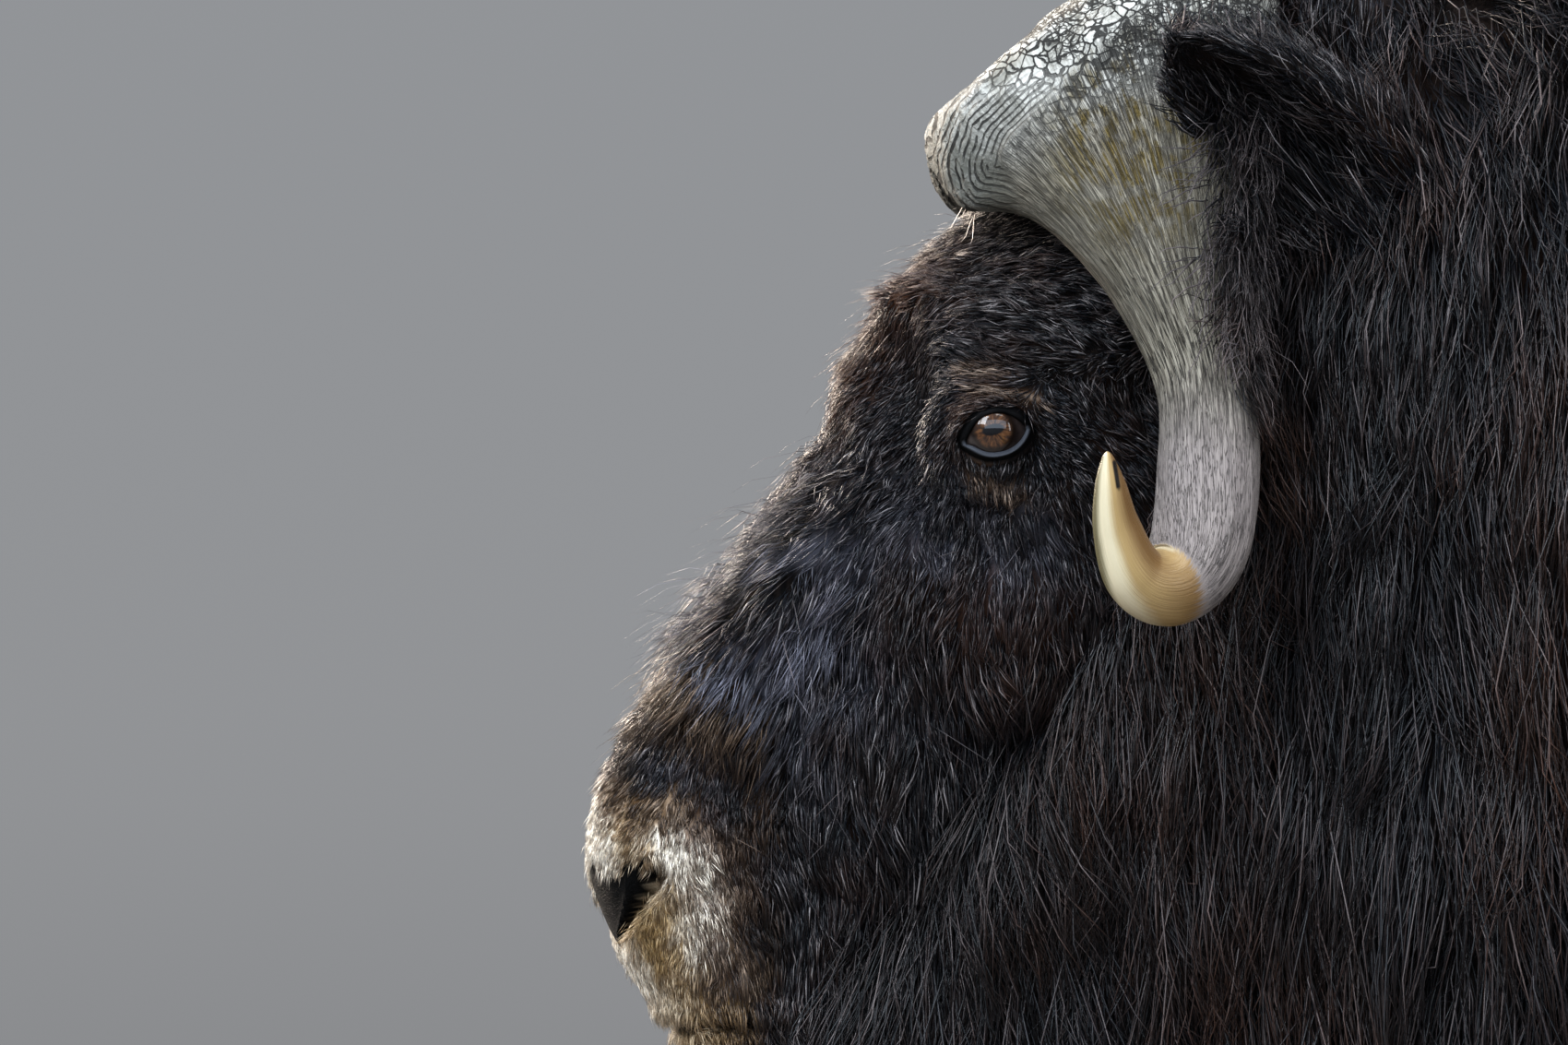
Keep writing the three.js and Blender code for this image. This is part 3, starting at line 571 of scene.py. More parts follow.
faceTree = head.tree()
lids = {name: lidShell(side, faceTree, (0.53 + 0.15 * i, 0.49, 0.12, 0.014))
        for i, (name, side) in enumerate(sides.items())}


def sinkUnderLids(shell):
    flat = shell.flat()
    for side in sides.values():
        out, front, up = lidAxes(side)
        away = flat - eyeAt * [1, side, 1]
        reach = np.hypot((away @ front) / lidForm["reach"][0], (away @ up) / lidForm["reach"][1])
        under = ease(0.98, 0.72, reach) * (away @ out > -40) * ease(-60, -30, away @ out)
        flat = flat - (16 * under)[:, None] * out
    shell.points = flat.reshape(shell.points.shape)
    shell.settle()


sinkUnderLids(head)

# Horns
hornForm = {
    "rows": 230, "columns": 112, "atlas": (0, 0, 1, 1),
    "sections": [
        # x, y, z, half fore-aft, half-thickness, tilt in degrees, square
        [-872, 7, 1178, 104, 34, 24, 2.5],
        [-873, 40, 1181, 106, 40, 24, 2.5],
        [-872, 82, 1168, 102, 43, 26, 2.4],
        [-862, 116, 1132, 84, 40, 32, 2.3],
        [-846, 137, 1085, 58, 34, 34, 2.2],
        [-832, 152, 1035, 36, 29, 28, 2.1],
        [-820, 166, 985, 26.5, 26, 12, 2],
        [-819, 182, 938, 27, 26, 0, 2],
        [-825, 202, 898, 26.5, 25, -24, 2],
        [-841, 222, 879, 22, 21.5, -60, 2],
        [-859, 237, 885, 17.2, 17, -95, 2],
        [-869, 248, 909, 12.8, 12.2, -112, 2],
        [-872.5, 256, 931, 8.4, 8, -118, 2],
        [-874, 260, 945, 3.4, 3.3, -120, 2],
        [-874.4, 261, 948.5, 0.7, 0.7, -120, 2],
    ],
    "lobeEdge": [(-870, 1205), (-887, 1193), (-920, 1168), (-942, 1149), (-958, 1133), (-967, 1103), (-963, 1082),
                 (-950, 1068), (-920, 1062), (-900, 1066)],
    "crest": [(-926, 1108), (-915, 1122), (-898, 1140), (-880, 1158), (-862, 1172)],
    # the boss stays behind these planes of the side view: a place on each, and where it faces
    "planes": [((-923, 1164), (-0.6485, 0.7612)), ((-967.5, 1100), (-1, 0)), ((-946, 1070), (-0.5, -0.866))],
    "planeSoft": 9, "brink": ([1050, 1108, 1172, 1205], [-903, -926, -862, -835]),  # the lobe's rear edge, z then x
    "slit": [(-870.6, 943), (-868.6, 930)], "slitBeyond": 252,
    "girth": ([0, 1, 2, 3, 4, 5, 6, 13], [1, 1, 1, 0.9, 0.6, 0.2, 0, 0]),  # where the crown's fibres pass into the shaft's
}


def hornShell(side):
    form, columns, soft = hornForm, hornForm["columns"], hornForm["planeSoft"]
    x, y, z, half, thick, tilt, square = evenly(form["sections"], form["rows"])
    centre = np.stack([x, side * y, z], -1)
    onward = unit(np.gradient(centre, axis=0))
    tilt = np.radians(tilt)
    wide = np.stack([np.cos(tilt), 0 * tilt, np.sin(tilt)], -1)
    wide = unit(wide - (wide * onward).sum(1, keepdims=True) * onward)
    rise = thick[:, None] * np.cross(wide, onward)
    shell = tube(centre, half[:, None] * wide, rise, -rise, square, columns, form["atlas"])
    shell.place = np.repeat(np.linspace(0, len(form["sections"]) - 1, form["rows"]), columns)
    shell.ring = 2 * math.pi * np.tile(np.arange(columns) / columns, form["rows"])
    length = np.concatenate([[0], np.cumsum(np.linalg.norm(np.diff(centre, axis=0), axis=1))])
    shell.length = np.repeat(length, columns)
    shell.boss = ease(4.6, 2.6, shell.place)
    shaft = ease(2.6, 4.2, shell.place) * ease(9.6, 8.2, shell.place)
    # a front lobe hangs over the forehead; above it the front slopes back to the crown
    flat = shell.flat()
    hang = np.exp(-(((flat[:, 0] + 956) / 34) ** 2 + ((flat[:, 2] - 1108) / 38) ** 2))
    flat = flat + (hang * ease(150, 110, np.abs(flat[:, 1])))[:, None] * [-2, 0, -30]
    for at, facing in form["planes"]:
        facing = np.array(facing)
        over = (flat[:, [0, 2]] - at) @ facing + soft
        kept = np.where(over > 0, soft * (1 - np.exp(-np.maximum(over, 0) / soft)), over)
        front = ease(-890, -925, flat[:, 0]) if facing[1] < 0 else 1.0
        pulled = ((kept - over) * front * (shell.place < 4.2))[:, None] * facing
        flat = flat + pulled @ np.array([[1, 0, 0], [0, 0, 1.0]])
    shell.gap, ridge = lineGap(flat, form["lobeEdge"])[0], lineGap(flat, form["crest"])[0]
    # fibres run along the horn: fine round it, long down it
    girth = np.repeat(np.sqrt(half * thick), columns)
    fibreAt = np.stack([girth * np.cos(shell.ring), girth * np.sin(shell.ring), shell.length * 0.09], -1)
    warp = np.stack([grain(flat, 9, o) for o in (1, 5, 8)], -1)
    cells = np.array([noise.voronoi(Vector(p))[0][:2] for p in (flat + 3 * warp) / 8])
    crack = hill(cells[:, 1] - cells[:, 0], 0.16)
    brink = np.interp(flat[:, 2], *form["brink"])
    shell.lobe = shell.boss * ease(5, -7, flat[:, 0] - brink) * ease(160, 140, np.abs(flat[:, 1]))
    shell.wrinkled = shell.lobe * ease(1158, 1128, flat[:, 2])
    push = shell.boss * (2.0 * grain(flat, 34, 3) + 1.1 * grain(flat, 13, 8) - 1.1 * crack)
    push = push + 5.5 * shell.boss * hill(ridge, 13)
    push += (0.6 * shell.boss + 0.6 * shaft) * (grain(fibreAt, 3.6) + 0.6 * grain(fibreAt, 7.5, 9))
    # wrinkles that follow the lobe's edge
    push += 0.5 * shell.wrinkled * np.sin(shell.gap / 1.5 + 3 * grain(flat, 22)) - 3 * shell.lobe * hill(shell.gap, 9, 34)
    shell.points = flat.reshape(shell.points.shape)
    shell.swell(push)
    return shell


horns = {name: hornShell(side) for name, side in sides.items()}
print("horns")

# Hooves: two toes and two dewclaws on each leg
toeForm = {
    "rows": 40, "columns": 64, "square": 2.4, "atlas": (0, 0, 1, 1), "spread": 30, "hindScale": 0.93,
    # z, how far forward, half-length, half-width
    "sections": [[61.7, 0, 50, 23], [48, 2, 54, 26], [24, 7, 60, 28.5], [4, 11, 65, 29.5], [0.3, 11, 63, 28]],
}


def toeShell(kind, side, inner):
    scale = toeForm["hindScale"] if kind == "hindleg" else 1
    x, y = legForm[kind][-1][1:3]
    z, forward, length, half = evenly(toeForm["sections"], toeForm["rows"])
    centre = np.stack([x - forward * scale, side * y + inner * toeForm["spread"] * scale + 0 * z, z], -1)
    rise = (half * scale)[:, None] * [0, 1.0, 0]
    shell = tube(centre, (length * scale)[:, None] * [1.0, 0, 0], rise, -rise, toeForm["square"], toeForm["columns"],
                 toeForm["atlas"])
    flat = shell.flat()
    rings = 0.5 * np.sin(flat[:, 2] / 2.6 + 1.5 * grain(flat, 25)) + 0.7 * grain(flat, 14)
    shell.swell(rings * ease(3, 10, flat[:, 2]) - 0.8)
    shell.points[..., 2] = np.maximum(shell.points[..., 2], 0.2)
    shell.settle()
    return shell

# The coat's markings, the same for skin and hair, with a painted bluish sheen and a painted warm rim glow among them
markForm = {
    "muzzle": [
        # place in the side view, then how pale and how golden
        [(-1148, 772), (1, 0)], [(-1142, 762), (0.85, 0.1)], [(-1147, 752), (1, 0)], [(-1140, 745), (0.9, 0.1)],
        [(-1144, 736), (1, 0)], [(-1136, 765), (0.3, 0.2)], [(-1129, 748), (0.55, 0.6)], [(-1119, 738), (0.6, 0.5)],
        [(-1110, 742), (0.92, 0.1)], [(-1100, 738), (0.95, 0)], [(-1094, 727), (0.8, 0.1)], [(-1118, 762), (0.3, 0.2)],
        [(-1105, 756), (0.42, 0.1)], [(-1090, 745), (0.45, 0)], [(-1085, 715), (0.62, 0)], [(-1082, 690), (0.5, 0)],
        [(-1075, 670), (0.42, 0)], [(-1068, 735), (0.25, 0)], [(-1060, 700), (0.22, 0)], [(-1104, 712), (0.72, 0.6)],
        [(-1108, 700), (0.7, 0.95)], [(-1114, 690), (0.72, 0.9)], [(-1104, 682), (0.62, 0.85)], [(-1100, 697), (0.85, 0.4)],
        [(-1095, 688), (0.98, 0.1)], [(-1091, 702), (0.8, 0.1)], [(-1130, 676), (1, 0)], [(-1125, 664), (1, 0)],
        [(-1117, 655), (0.98, 0.3)], [(-1107, 648), (0.85, 0.6)], [(-1090, 646), (0.62, 0.6)], [(-1073, 650), (0.35, 0.4)],
        [(-1100, 665), (0.66, 0.6)], [(-1085, 668), (0.45, 0.3)], [(-1132, 788), (0.12, 0)], [(-1140, 788), (0.6, 0)],
        [(-1112, 780), (0.02, 0)], [(-1080, 765), (0, 0)], [(-1050, 730), (0, 0)], [(-1045, 660), (0.12, 0)],
        [(-1060, 620), (0.1, 0)],
    ],
    # pale lines on the lids, and how broad
    "tan": [([(-941, 992), (-922, 991)], 4), ([(-937, 983), (-908, 978)], 3.2), ([(-940, 937), (-917, 929)], 6)],
    # centres of the painted bluish sheen: a long patch on the nose and a small one below the eye
    "paintedSheen": (-1052, 850), "paintedSheenBelowEye": (-925, 905),
}


# The guides' values at each point, blended by distance in the side view
def combed(points, guides, blur):
    places, values = np.array([g[0] for g in guides], float), np.array([g[1] for g in guides], float)
    out = np.empty((len(points), values.shape[1]))
    atOnce = 20000
    for start in range(0, len(points), atOnce):
        flat = points[start : start + atOnce, [0, 2]]
        gap = ((flat[:, None, :] - places[None]) ** 2).sum(-1)
        share = 1 / (gap + blur ** 2) ** 2
        out[start : start + atOnce] = share @ values / share.sum(1, keepdims=True)
    return out


def markings(points, onLeg):
    flat = folded(points)
    x, y, z = flat.T
    s, h = onHead(flat)
    rough = 5 * grain(flat, 14, 4) + 4 * grain(flat, 5, 1)
    near = ease(-1030, -1062, x + rough) * (s > 380)
    tint = np.zeros((len(flat), 2))
    close = near > 0
    tint[close] = combed(flat[close] + rough[close, None] * [0.5, 0, 0.3], markForm["muzzle"], 5)
    muzzle = near * np.clip(tint[:, 0] + 0.16 * grain(flat * [1, 1, 0.5], 6, 8), 0, 1)
    for line, reach in markForm["tan"]:
        muzzle = np.maximum(muzzle, 0.5 * hill(lineGap(flat, line)[0], reach) * (s < 300))
    # a long patch of painted bluish sheen on the nose, leaning forward, and a small one below the eye
    dx, dz = x - markForm["paintedSheen"][0], z - markForm["paintedSheen"][1]
    paintedSheen = np.exp(-((dx * 0.8 + dz * -0.6) / 46) ** 2 - ((dx * 0.6 + dz * 0.8) / 70) ** 2)
    dx, dz = x - markForm["paintedSheenBelowEye"][0], z - markForm["paintedSheenBelowEye"][1]
    paintedSheen = (paintedSheen + 0.5 * np.exp(-((dx / 45) ** 2 + (dz / 22) ** 2))) * ease(-0.5, 0.6, grain(flat, 18, 3))
    saddle = ease(1150, 1205, z + 14 * grain(flat, 60)) * ease(-200, -50, x + 45 * grain(flat, 110, 5))
    saddle = saddle * ease(660, 430, x + 70 * grain(flat, 120, 2))
    edge = y + 80 * ((x - 190) / 380) ** 2 + 25 * grain(flat, 45, 7) + 30 * grain(flat, 120, 9)
    stocking = onLeg * ease(470, 360, z + 20 * grain(flat, 50))
    # on the top of the bridge warm brown is painted where back light glows through the hair tips; the patches and the
    # ring round the eye are real brown
    bridge = ease(62, 100, h) * ease(60, 180, s) * ease(475, 430, s)
    patches = ease(0.1, 0.75, grain(flat, 150, 6)) * 0.5 + 0.35 * ease(0, 0.8, grain(flat, 24, 2))
    away = np.linalg.norm(flat - (eyeAt + [0, 14, 15]), axis=1)
    brownAndRimGlow = np.clip(np.maximum(bridge, patches) + 0.25 * ease(17, 9, np.abs(away - 8)) * (s < 230), 0, 1)
    return {"muzzle": muzzle, "gold": tint[:, 1], "paintedSheen": paintedSheen, "saddle": saddle * ease(250, 130, edge),
            "stocking": stocking, "brownAndRimGlow": brownAndRimGlow}


# A number on every point, which the materials read by name
def paintPoints(obj, name, values):
    obj.data.attributes.new(name, "FLOAT", "POINT").data.foreach_set("value", np.asarray(values, np.float32))


# The UV of every corner, from that of its point
def unwrap(mesh, uvs, corners):
    layer = mesh.uv_layers.new(name="OFBake")
    layer.data.foreach_set("uv", uvs.reshape(-1, 2)[corners].astype(np.float32).ravel())


# Grids with a doubled seam column take the shells' points, then the seam is merged and the ends are closed
def shellObject(name, shells, marks):
    work = bmesh.new()
    picks, uvs, first = [], [], 0
    for s in shells:
        bmesh.ops.create_grid(work, x_segments=s.columns, y_segments=s.rows - 1, size=0.5)
        row, column = np.divmod(np.arange(s.rows * (s.columns + 1)), s.columns + 1)
        picks.append(first + row * s.columns + column % s.columns)
        left, low, wide, high = s.atlas
        uvs.append(np.stack([left + wide * column / s.columns, low + high * (row + 0.5) / s.rows], -1))
        first += s.rows * s.columns
    obj = meshed(name, work)
    mesh = obj.data
    picks = np.concatenate(picks)
    points = world(np.vstack([s.flat() for s in shells]))[picks]
    mesh.vertices.foreach_set("co", points.astype(np.float32).ravel())
    corners = np.empty(len(mesh.loops), int)
    mesh.loops.foreach_get("vertex_index", corners)
    unwrap(mesh, np.vstack(uvs), corners)
    for mark, values in marks.items():
        paintPoints(obj, mark, np.asarray(values)[picks])
    work = bmesh.new()
    work.from_mesh(mesh)
    bmesh.ops.remove_doubles(work, verts=work.verts, dist=mergeWithin)
    caps = bmesh.ops.holes_fill(work, edges=[e for e in work.edges if e.is_boundary], sides=0)["faces"]
    spread = work.loops.layers.uv["OFBake"]
    for cap in caps:
        for corner in cap.loops:
            beside = (other[spread].uv.copy() for other in corner.vert.link_loops if other.face not in caps)
            corner[spread].uv = next(beside, (0, 0))
    bmesh.ops.recalc_face_normals(work, faces=work.faces)
    work.to_mesh(mesh)
    work.free()
    mesh.shade_smooth()
    return obj


# One skin for the flesh: head, body, tail, legs, ears and lids
skinShells = [head, body, tail, *legs.values(), *ears.values(), *lids.values()]
skinStarts = np.cumsum([0] + [s.rows * s.columns for s in skinShells])
allSkin = np.vstack([s.flat() for s in skinShells])
pad = nosePad(allSkin)
gape, _ = lineGap(folded(allSkin), muzzleForm["mouth"])
lips = ease(7, 3, gape) * (allSkin[:, 2] > 620) * (allSkin[:, 0] < -985) * (np.abs(allSkin[:, 1]) < 80)
bare, wetAndPaintedHighlight, onLeg = np.maximum(pad, lips), np.zeros(len(allSkin)), np.zeros(len(allSkin))
below, ring = ease(0.35, -0.1, np.sin(lidTurn)), lidForm["columns"]
# the lid rims are wet and shinier, and are painted a grey-blue highlight colour, most of all below the eye
for first in skinStarts[[-3, -2]]:
    wetAndPaintedHighlight[first : first + ring * 3] = np.tile(0.25 + 0.75 * below, 3)
    wetAndPaintedHighlight[first + ring * 3 : first + ring * 4] = 0.3 * below
    bare[first : first + ring * 7] = 1
onLeg[skinStarts[3] : skinStarts[3 + len(legs)]] = 1
skin = shellObject("skin", skinShells, {"bare": bare, "wetAndPaintedHighlight": wetAndPaintedHighlight, "pebbled": pad, **markings(allSkin, onLeg)})
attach(skin, "root")
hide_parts("head", "neck", "torso", "hindquarters", "tail",
            *[part + "_" + name for part in ("shoulder", "flank", "rump", *legKinds, "ear") for name in sides])
print("skin", len(skin.data.vertices))

hornPieces, toes = [], []
for name, side in sides.items():
    horn = horns[name]
    flat = horn.flat()
    slit = ease(1.5, 0.7, lineGap(flat, hornForm["slit"])[0]) * (np.abs(flat[:, 1]) > hornForm["slitBeyond"])
    piece = shellObject("horn_" + name + "_cracked", [horn], {
        "boss": horn.boss, "ivory": ease(8.3, 9.6, horn.place), "length": horn.length / 1000, "lobe": horn.lobe,
        "roundCos": np.cos(horn.ring), "roundSin": np.sin(horn.ring), "gap": horn.gap, "wrinkled": horn.wrinkled,
        "front": -horn.normals.reshape(-1, 3)[:, 0], "slit": slit, "girth": np.interp(horn.place, *hornForm["girth"]),
        "moss": np.exp(-(((flat[:, 0] + 855) / 40) ** 2 + ((flat[:, 2] - 1112) / 50) ** 2)),
    })
    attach(piece, "root")
    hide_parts("horn_" + name)
    hornPieces.append(piece)
for kind in legKinds:
    for name, side in sides.items():
        for which, inner in (("inner", -side), ("outer", side)):
            piece = shellObject(f"{kind}_{name}_toe_{which}", [toeShell(kind, side, inner)], {})
            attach(piece, "root")
            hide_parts(f"{kind}_{name}_hoof_{which}")
            toes.append(piece)

# Dewclaws: two small nubs of horn behind each pastern
clawForm = {"segments": 20, "rings": 14, "back": 40, "across": 21, "z": 100, "halves": (13, 11, 19), "lean": -0.3}
work = bmesh.new()
for kind in legKinds:
    x, y = legForm[kind][-3][1:3]
    for side in sides.values():
        for inner in (-1, 1):
            nub = bmesh.ops.create_uvsphere(work, u_segments=clawForm["segments"], v_segments=clawForm["rings"],
                                            radius=1)["verts"]
            centre = world([x + clawForm["back"], side * y + inner * clawForm["across"], clawForm["z"]])
            bmesh.ops.scale(work, vec=Vector(clawForm["halves"]) / 1000, verts=nub)
            bmesh.ops.rotate(work, matrix=Matrix.Rotation(clawForm["lean"], 3, "Y"), verts=nub)
            bmesh.ops.translate(work, vec=Vector(centre), verts=nub)
dewclaws = meshed("dewclaws", work)
dewclaws.data.shade_smooth()
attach(dewclaws, "root")
toes.append(dewclaws)
print("horns and hooves")

# Eyeballs: a ball with the clear front swelling out of it
eyeForm = {"radius": 19.6, "segments": 72, "rings": 48, "bulge": 0.045, "turned": (-0.07, -0.05)}
eyes = []
for name, side in sides.items():
    work = bmesh.new()
    bmesh.ops.create_uvsphere(work, u_segments=eyeForm["segments"], v_segments=eyeForm["rings"], radius=1)
    out, front, up = lidAxes(side)
    look = unit(out + eyeForm["turned"][0] * front + eyeForm["turned"][1] * up)
    across = unit(front - front @ look * look)
    flat = np.array([v.co[:] for v in work.verts])
    flat = flat * (eyeForm["radius"] * (1 + eyeForm["bulge"] * ease(0.74, 0.9, flat[:, 2])))[:, None]
    flat = flat[:, :1] * across + flat[:, 1:2] * np.cross(look, across) + flat[:, 2:] * look
    for v, p in zip(work.verts, world(flat + eyeAt * [1, side, 1])):
        v.co = p
    piece = meshed("eyeball_" + name, work)
    piece.data.shade_smooth()
    paintPoints(piece, "eyeAcross", flat @ across / eyeForm["radius"])
    paintPoints(piece, "eyeUp", flat @ up / eyeForm["radius"])
    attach(piece, "root")
    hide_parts("eye_" + name)
    eyes.append(piece)
print("eyes")


# Roots for the hair, spread over a shell by weight
class Seeds:
    def __init__(self, shell, count, weigh, rng):
        def corners(grid):
            return grid[:-1], np.roll(grid, -1, 1)[:-1], np.roll(grid, -1, 1)[1:], grid[1:]
        points, normals = corners(shell.points), corners(shell.normals)
        a, b, c, d = points
        area = (np.linalg.norm(np.cross(c - a, d - b), axis=-1) / 2).ravel()
        facing = (normals[0] + normals[1] + normals[2] + normals[3]).reshape(-1, 3)
        share = area * np.maximum(weigh(((a + b + c + d) / 4).reshape(-1, 3), unit(facing)), 0)
        pick = rng.choice(len(share), count, p=share / share.sum())
        s, t = rng.random((2, count, 1))
        def mix(grid):
            g = [part.reshape(-1, 3)[pick] for part in grid]
            return (g[0] * (1 - s) + g[1] * s) * (1 - t) + (g[3] * (1 - s) + g[2] * s) * t
        self.at, self.normal = mix(points), unit(mix(normals))
        row, column = np.divmod(pick, shell.columns)
        left, low, wide, high = shell.atlas
        self.uv = np.stack([left + wide * (column + s[:, 0]) / shell.columns,
                            low + high * (row + 0.5 + t[:, 0]) / shell.rows], -1)


# Paths (tuft, point, xyz) in metres become one mesh of closed spindles, a three-sided ring at each inner point
def tuftMesh(name, paths, half, thick, across, uv, marks):
    count, points = paths.shape[:2]
    rings = points - 2
    corner = 3 * rings + 2
    onward = unit(np.gradient(paths, axis=1))[:, 1:-1]
    side = unit(across - (across * onward).sum(-1, keepdims=True) * onward)
    ridge = np.cross(side, onward)
    w, h, middle = half[..., None], thick[..., None], paths[:, 1:-1]
    ring = np.stack([middle + side * w, middle - side * w, middle + ridge * h], 2)
    co = np.concatenate([paths[:, :1], ring.reshape(count, -1, 3), paths[:, -1:]], 1)
    faces = []
    for j in range(3):
        i = (j + 1) % 3
        faces.append((0, 1 + i, 1 + j))
        faces += [(1 + 3 * k + j, 1 + 3 * k + i, 4 + 3 * k + i, 4 + 3 * k + j) for k in range(rings - 1)]
        faces.append((3 * rings - 2 + j, 3 * rings - 2 + i, corner - 1))
    loops, starts = np.concatenate(faces), np.cumsum([0] + [len(face) for face in faces[:-1]])
    starts = (starts[None] + len(loops) * np.arange(count)[:, None]).ravel()
    loops = (loops[None] + corner * np.arange(count)[:, None]).ravel()
    mesh = bpy.data.meshes.new(name)
    mesh.vertices.add(count * corner)
    mesh.vertices.foreach_set("co", co.astype(np.float32).ravel())
    mesh.loops.add(len(loops))
    mesh.loops.foreach_set("vertex_index", loops.astype(np.int32))
    mesh.polygons.add(len(starts))
    mesh.polygons.foreach_set("loop_start", starts.astype(np.int32))
    mesh.update(calc_edges=True)
    mesh.shade_smooth()
    share = np.concatenate([[0], np.repeat(np.linspace(0, 1, points)[1:-1], 3), [1]])
    spot = np.concatenate([[0], np.tile([-0.5, 0.5, 0.0], rings), [0]])
    unwrap(mesh, uv[:, None, :] + 0.003 * np.stack([spot, share - 0.5], -1)[None], loops)
    obj = placed(name, mesh)
    paintPoints(obj, "along", np.tile(share, count))
    for mark, values in marks.items():
        paintPoints(obj, mark, np.repeat(values, corner))
    return obj


treeFaces = [face for s, first in zip(skinShells, skinStarts) for face in s.faces(int(first))]
skinTree = BVHTree.FromPolygons([Vector(p) for s in skinShells for p in s.flat()], treeFaces)
bodyTree, headTree = body.tree(), head.tree()
hornTrees = [h.tree() for h in horns.values()]


# True where a point is under the tree's surface, or nearer to it than clear
def inside(tree, points, clear=0.0):
    out = np.zeros(len(points), bool)
    for i, p in enumerate(points):
        at, n, _, _ = tree.find_nearest(Vector(p))
        out[i] = (Vector(p) - at).dot(n) < clear
    return out


# What a tuft of hair is when its piece says nothing else: lengths in mm, turns in radians
plainFur = {
    "blur": 28, "bend": 0.45, "droop": 0.0, "swirl": 0.25, "swirlSize": 22, "stray": 0.16, "spread": 0.2, "sink": 1.2,
    "wave": 0.0, "waveStep": 1.9, "clump": 0.0, "clumpSize": 14, "hug": None, "lowest": None, "avoid": [], "ridge": 0.7,
    "legs": 0,
}
gravity = np.array([0, 0, -1.0])
furPieces = []


# A piece of fur: closed three-sided tufts, rooted on a shell and combed by guides seen from the side
def growFur(given):
    spec = {**plainFur, **given}
    rng = np.random.default_rng(spec["seed"])
    guides, blur, bend, droop, hug = (spec[key] for key in ("guides", "blur", "bend", "droop", "hug"))
    def weigh(centre, normal):
        look = combed(centre, guides, blur)
        return spec["weigh"](centre, normal) / (look[:, 2] * look[:, 4])
    seeds = Seeds(spec["shell"], spec["count"], weigh, rng)
    keep = np.ones(len(seeds.at), bool)
    for tree, clear in spec["avoid"]:
        keep &= ~inside(tree, seeds.at + seeds.normal, clear)
    at, normal, uv = seeds.at[keep], seeds.normal[keep], seeds.uv[keep]
    count, segments = len(at), spec["segments"]
    look = combed(at, guides, blur)
    length = look[:, 2] * np.clip(1 + 0.3 * rng.standard_normal(count), 0.45, 1.7)
    lift = np.radians(look[:, 3]) * np.clip(1 + 0.45 * rng.standard_normal(count), 0.15, 2.2)
    half = look[:, 4] * np.clip(1 + 0.25 * rng.standard_normal(count), 0.5, 1.6)
    outward = np.sign(at[:, 1])
    jitter = spec["swirl"] * (grain(at, spec["swirlSize"], spec["seed"]) + 0.7 * grain(at, 9, 5))
    jitter = (jitter + spec["stray"] * rng.standard_normal(count))[:, None]
    def lie(points, n):
        flow = combed(points, guides, blur)[:, :2]
        d = np.stack([flow[:, 0], outward * spec["spread"], flow[:, 1]], -1)
        d = unit(d - (d * n).sum(-1, keepdims=True) * n)
        return d * np.cos(jitter) + np.cross(n, d) * np.sin(jitter)
    tangent = lie(at, normal)
    heading = np.cos(lift)[:, None] * tangent + np.sin(lift)[:, None] * normal
    if spec["lowest"]:
        room = at[:, 2] - spec["lowest"](at) + 14 * rng.standard_normal(count)
        length = np.minimum(length, np.maximum(room, 30))
    paths = [at - normal * spec["sink"]]
    step = (length / segments)[:, None]
    phase = rng.random(count) * 6.28 + 4 * grain(at, 40, 2)
    surface, onward = normal, tangent
    for k in range(segments):
        here = paths[-1] + heading * step
        if hug is not None:
            nearest = [skinTree.find_nearest(Vector(p)) for p in here]
            foot, surface = (np.array([found[i][:] for found in nearest]) for i in (0, 1))
            height = ((here - foot) * surface).sum(-1)
            least = hug * (0.4 + 0.6 * (k + 1) / segments) * (0.3 + 0.7 * rng.random(count))
            here = here + np.maximum(least - height, 0)[:, None] * surface
            onward = lie(here, surface)
        paths.append(here)
        sway = spec["wave"] * np.sin(phase + (k + 1) * spec["waveStep"])
        heading = unit(heading * (1 - bend) + onward * bend * (1 - droop) + gravity * droop * bend
                       + np.cross(surface, onward) * sway[:, None])
    paths = np.stack(paths, 1)
    if spec["clump"]:
        centres = rng.choice(count, max(count // spec["clumpSize"], 1), replace=False)
        finder = KDTree(len(centres))
        for c in centres:
            finder.insert(Vector(at[c]), int(c))
        finder.balance()
        mate = np.array([finder.find(Vector(p))[1] for p in at])
        pull = spec["clump"] * (np.linspace(0, 1, segments + 1) ** 1.4)[None, :, None]
        pull = pull * np.clip(1 + 0.4 * rng.standard_normal(count), 0.1, 1.6)[:, None, None]
        paths = paths + pull * (paths[mate] - paths)
    inner = np.linspace(0, 1, segments + 1)[1:-1]
    taper = np.clip(1.12 - 0.75 * inner ** 2, 0.25, 1)[None] * half[:, None]
    across = np.cross(tangent, normal)[:, None, :] * np.ones((1, segments - 1, 1))
    marks = {"tone": rng.random(count), **markings(at, spec["legs"])}
    obj = tuftMesh(spec["name"], world(paths), taper / 1000, taper * spec["ridge"] / 1000, across, uv, marks)
    obj.data.materials.append(spec["material"])
    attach(obj, "root")
    furPieces.append(obj)
    print(spec["name"], count, "tufts", count * 6 * (segments - 1), "triangles")


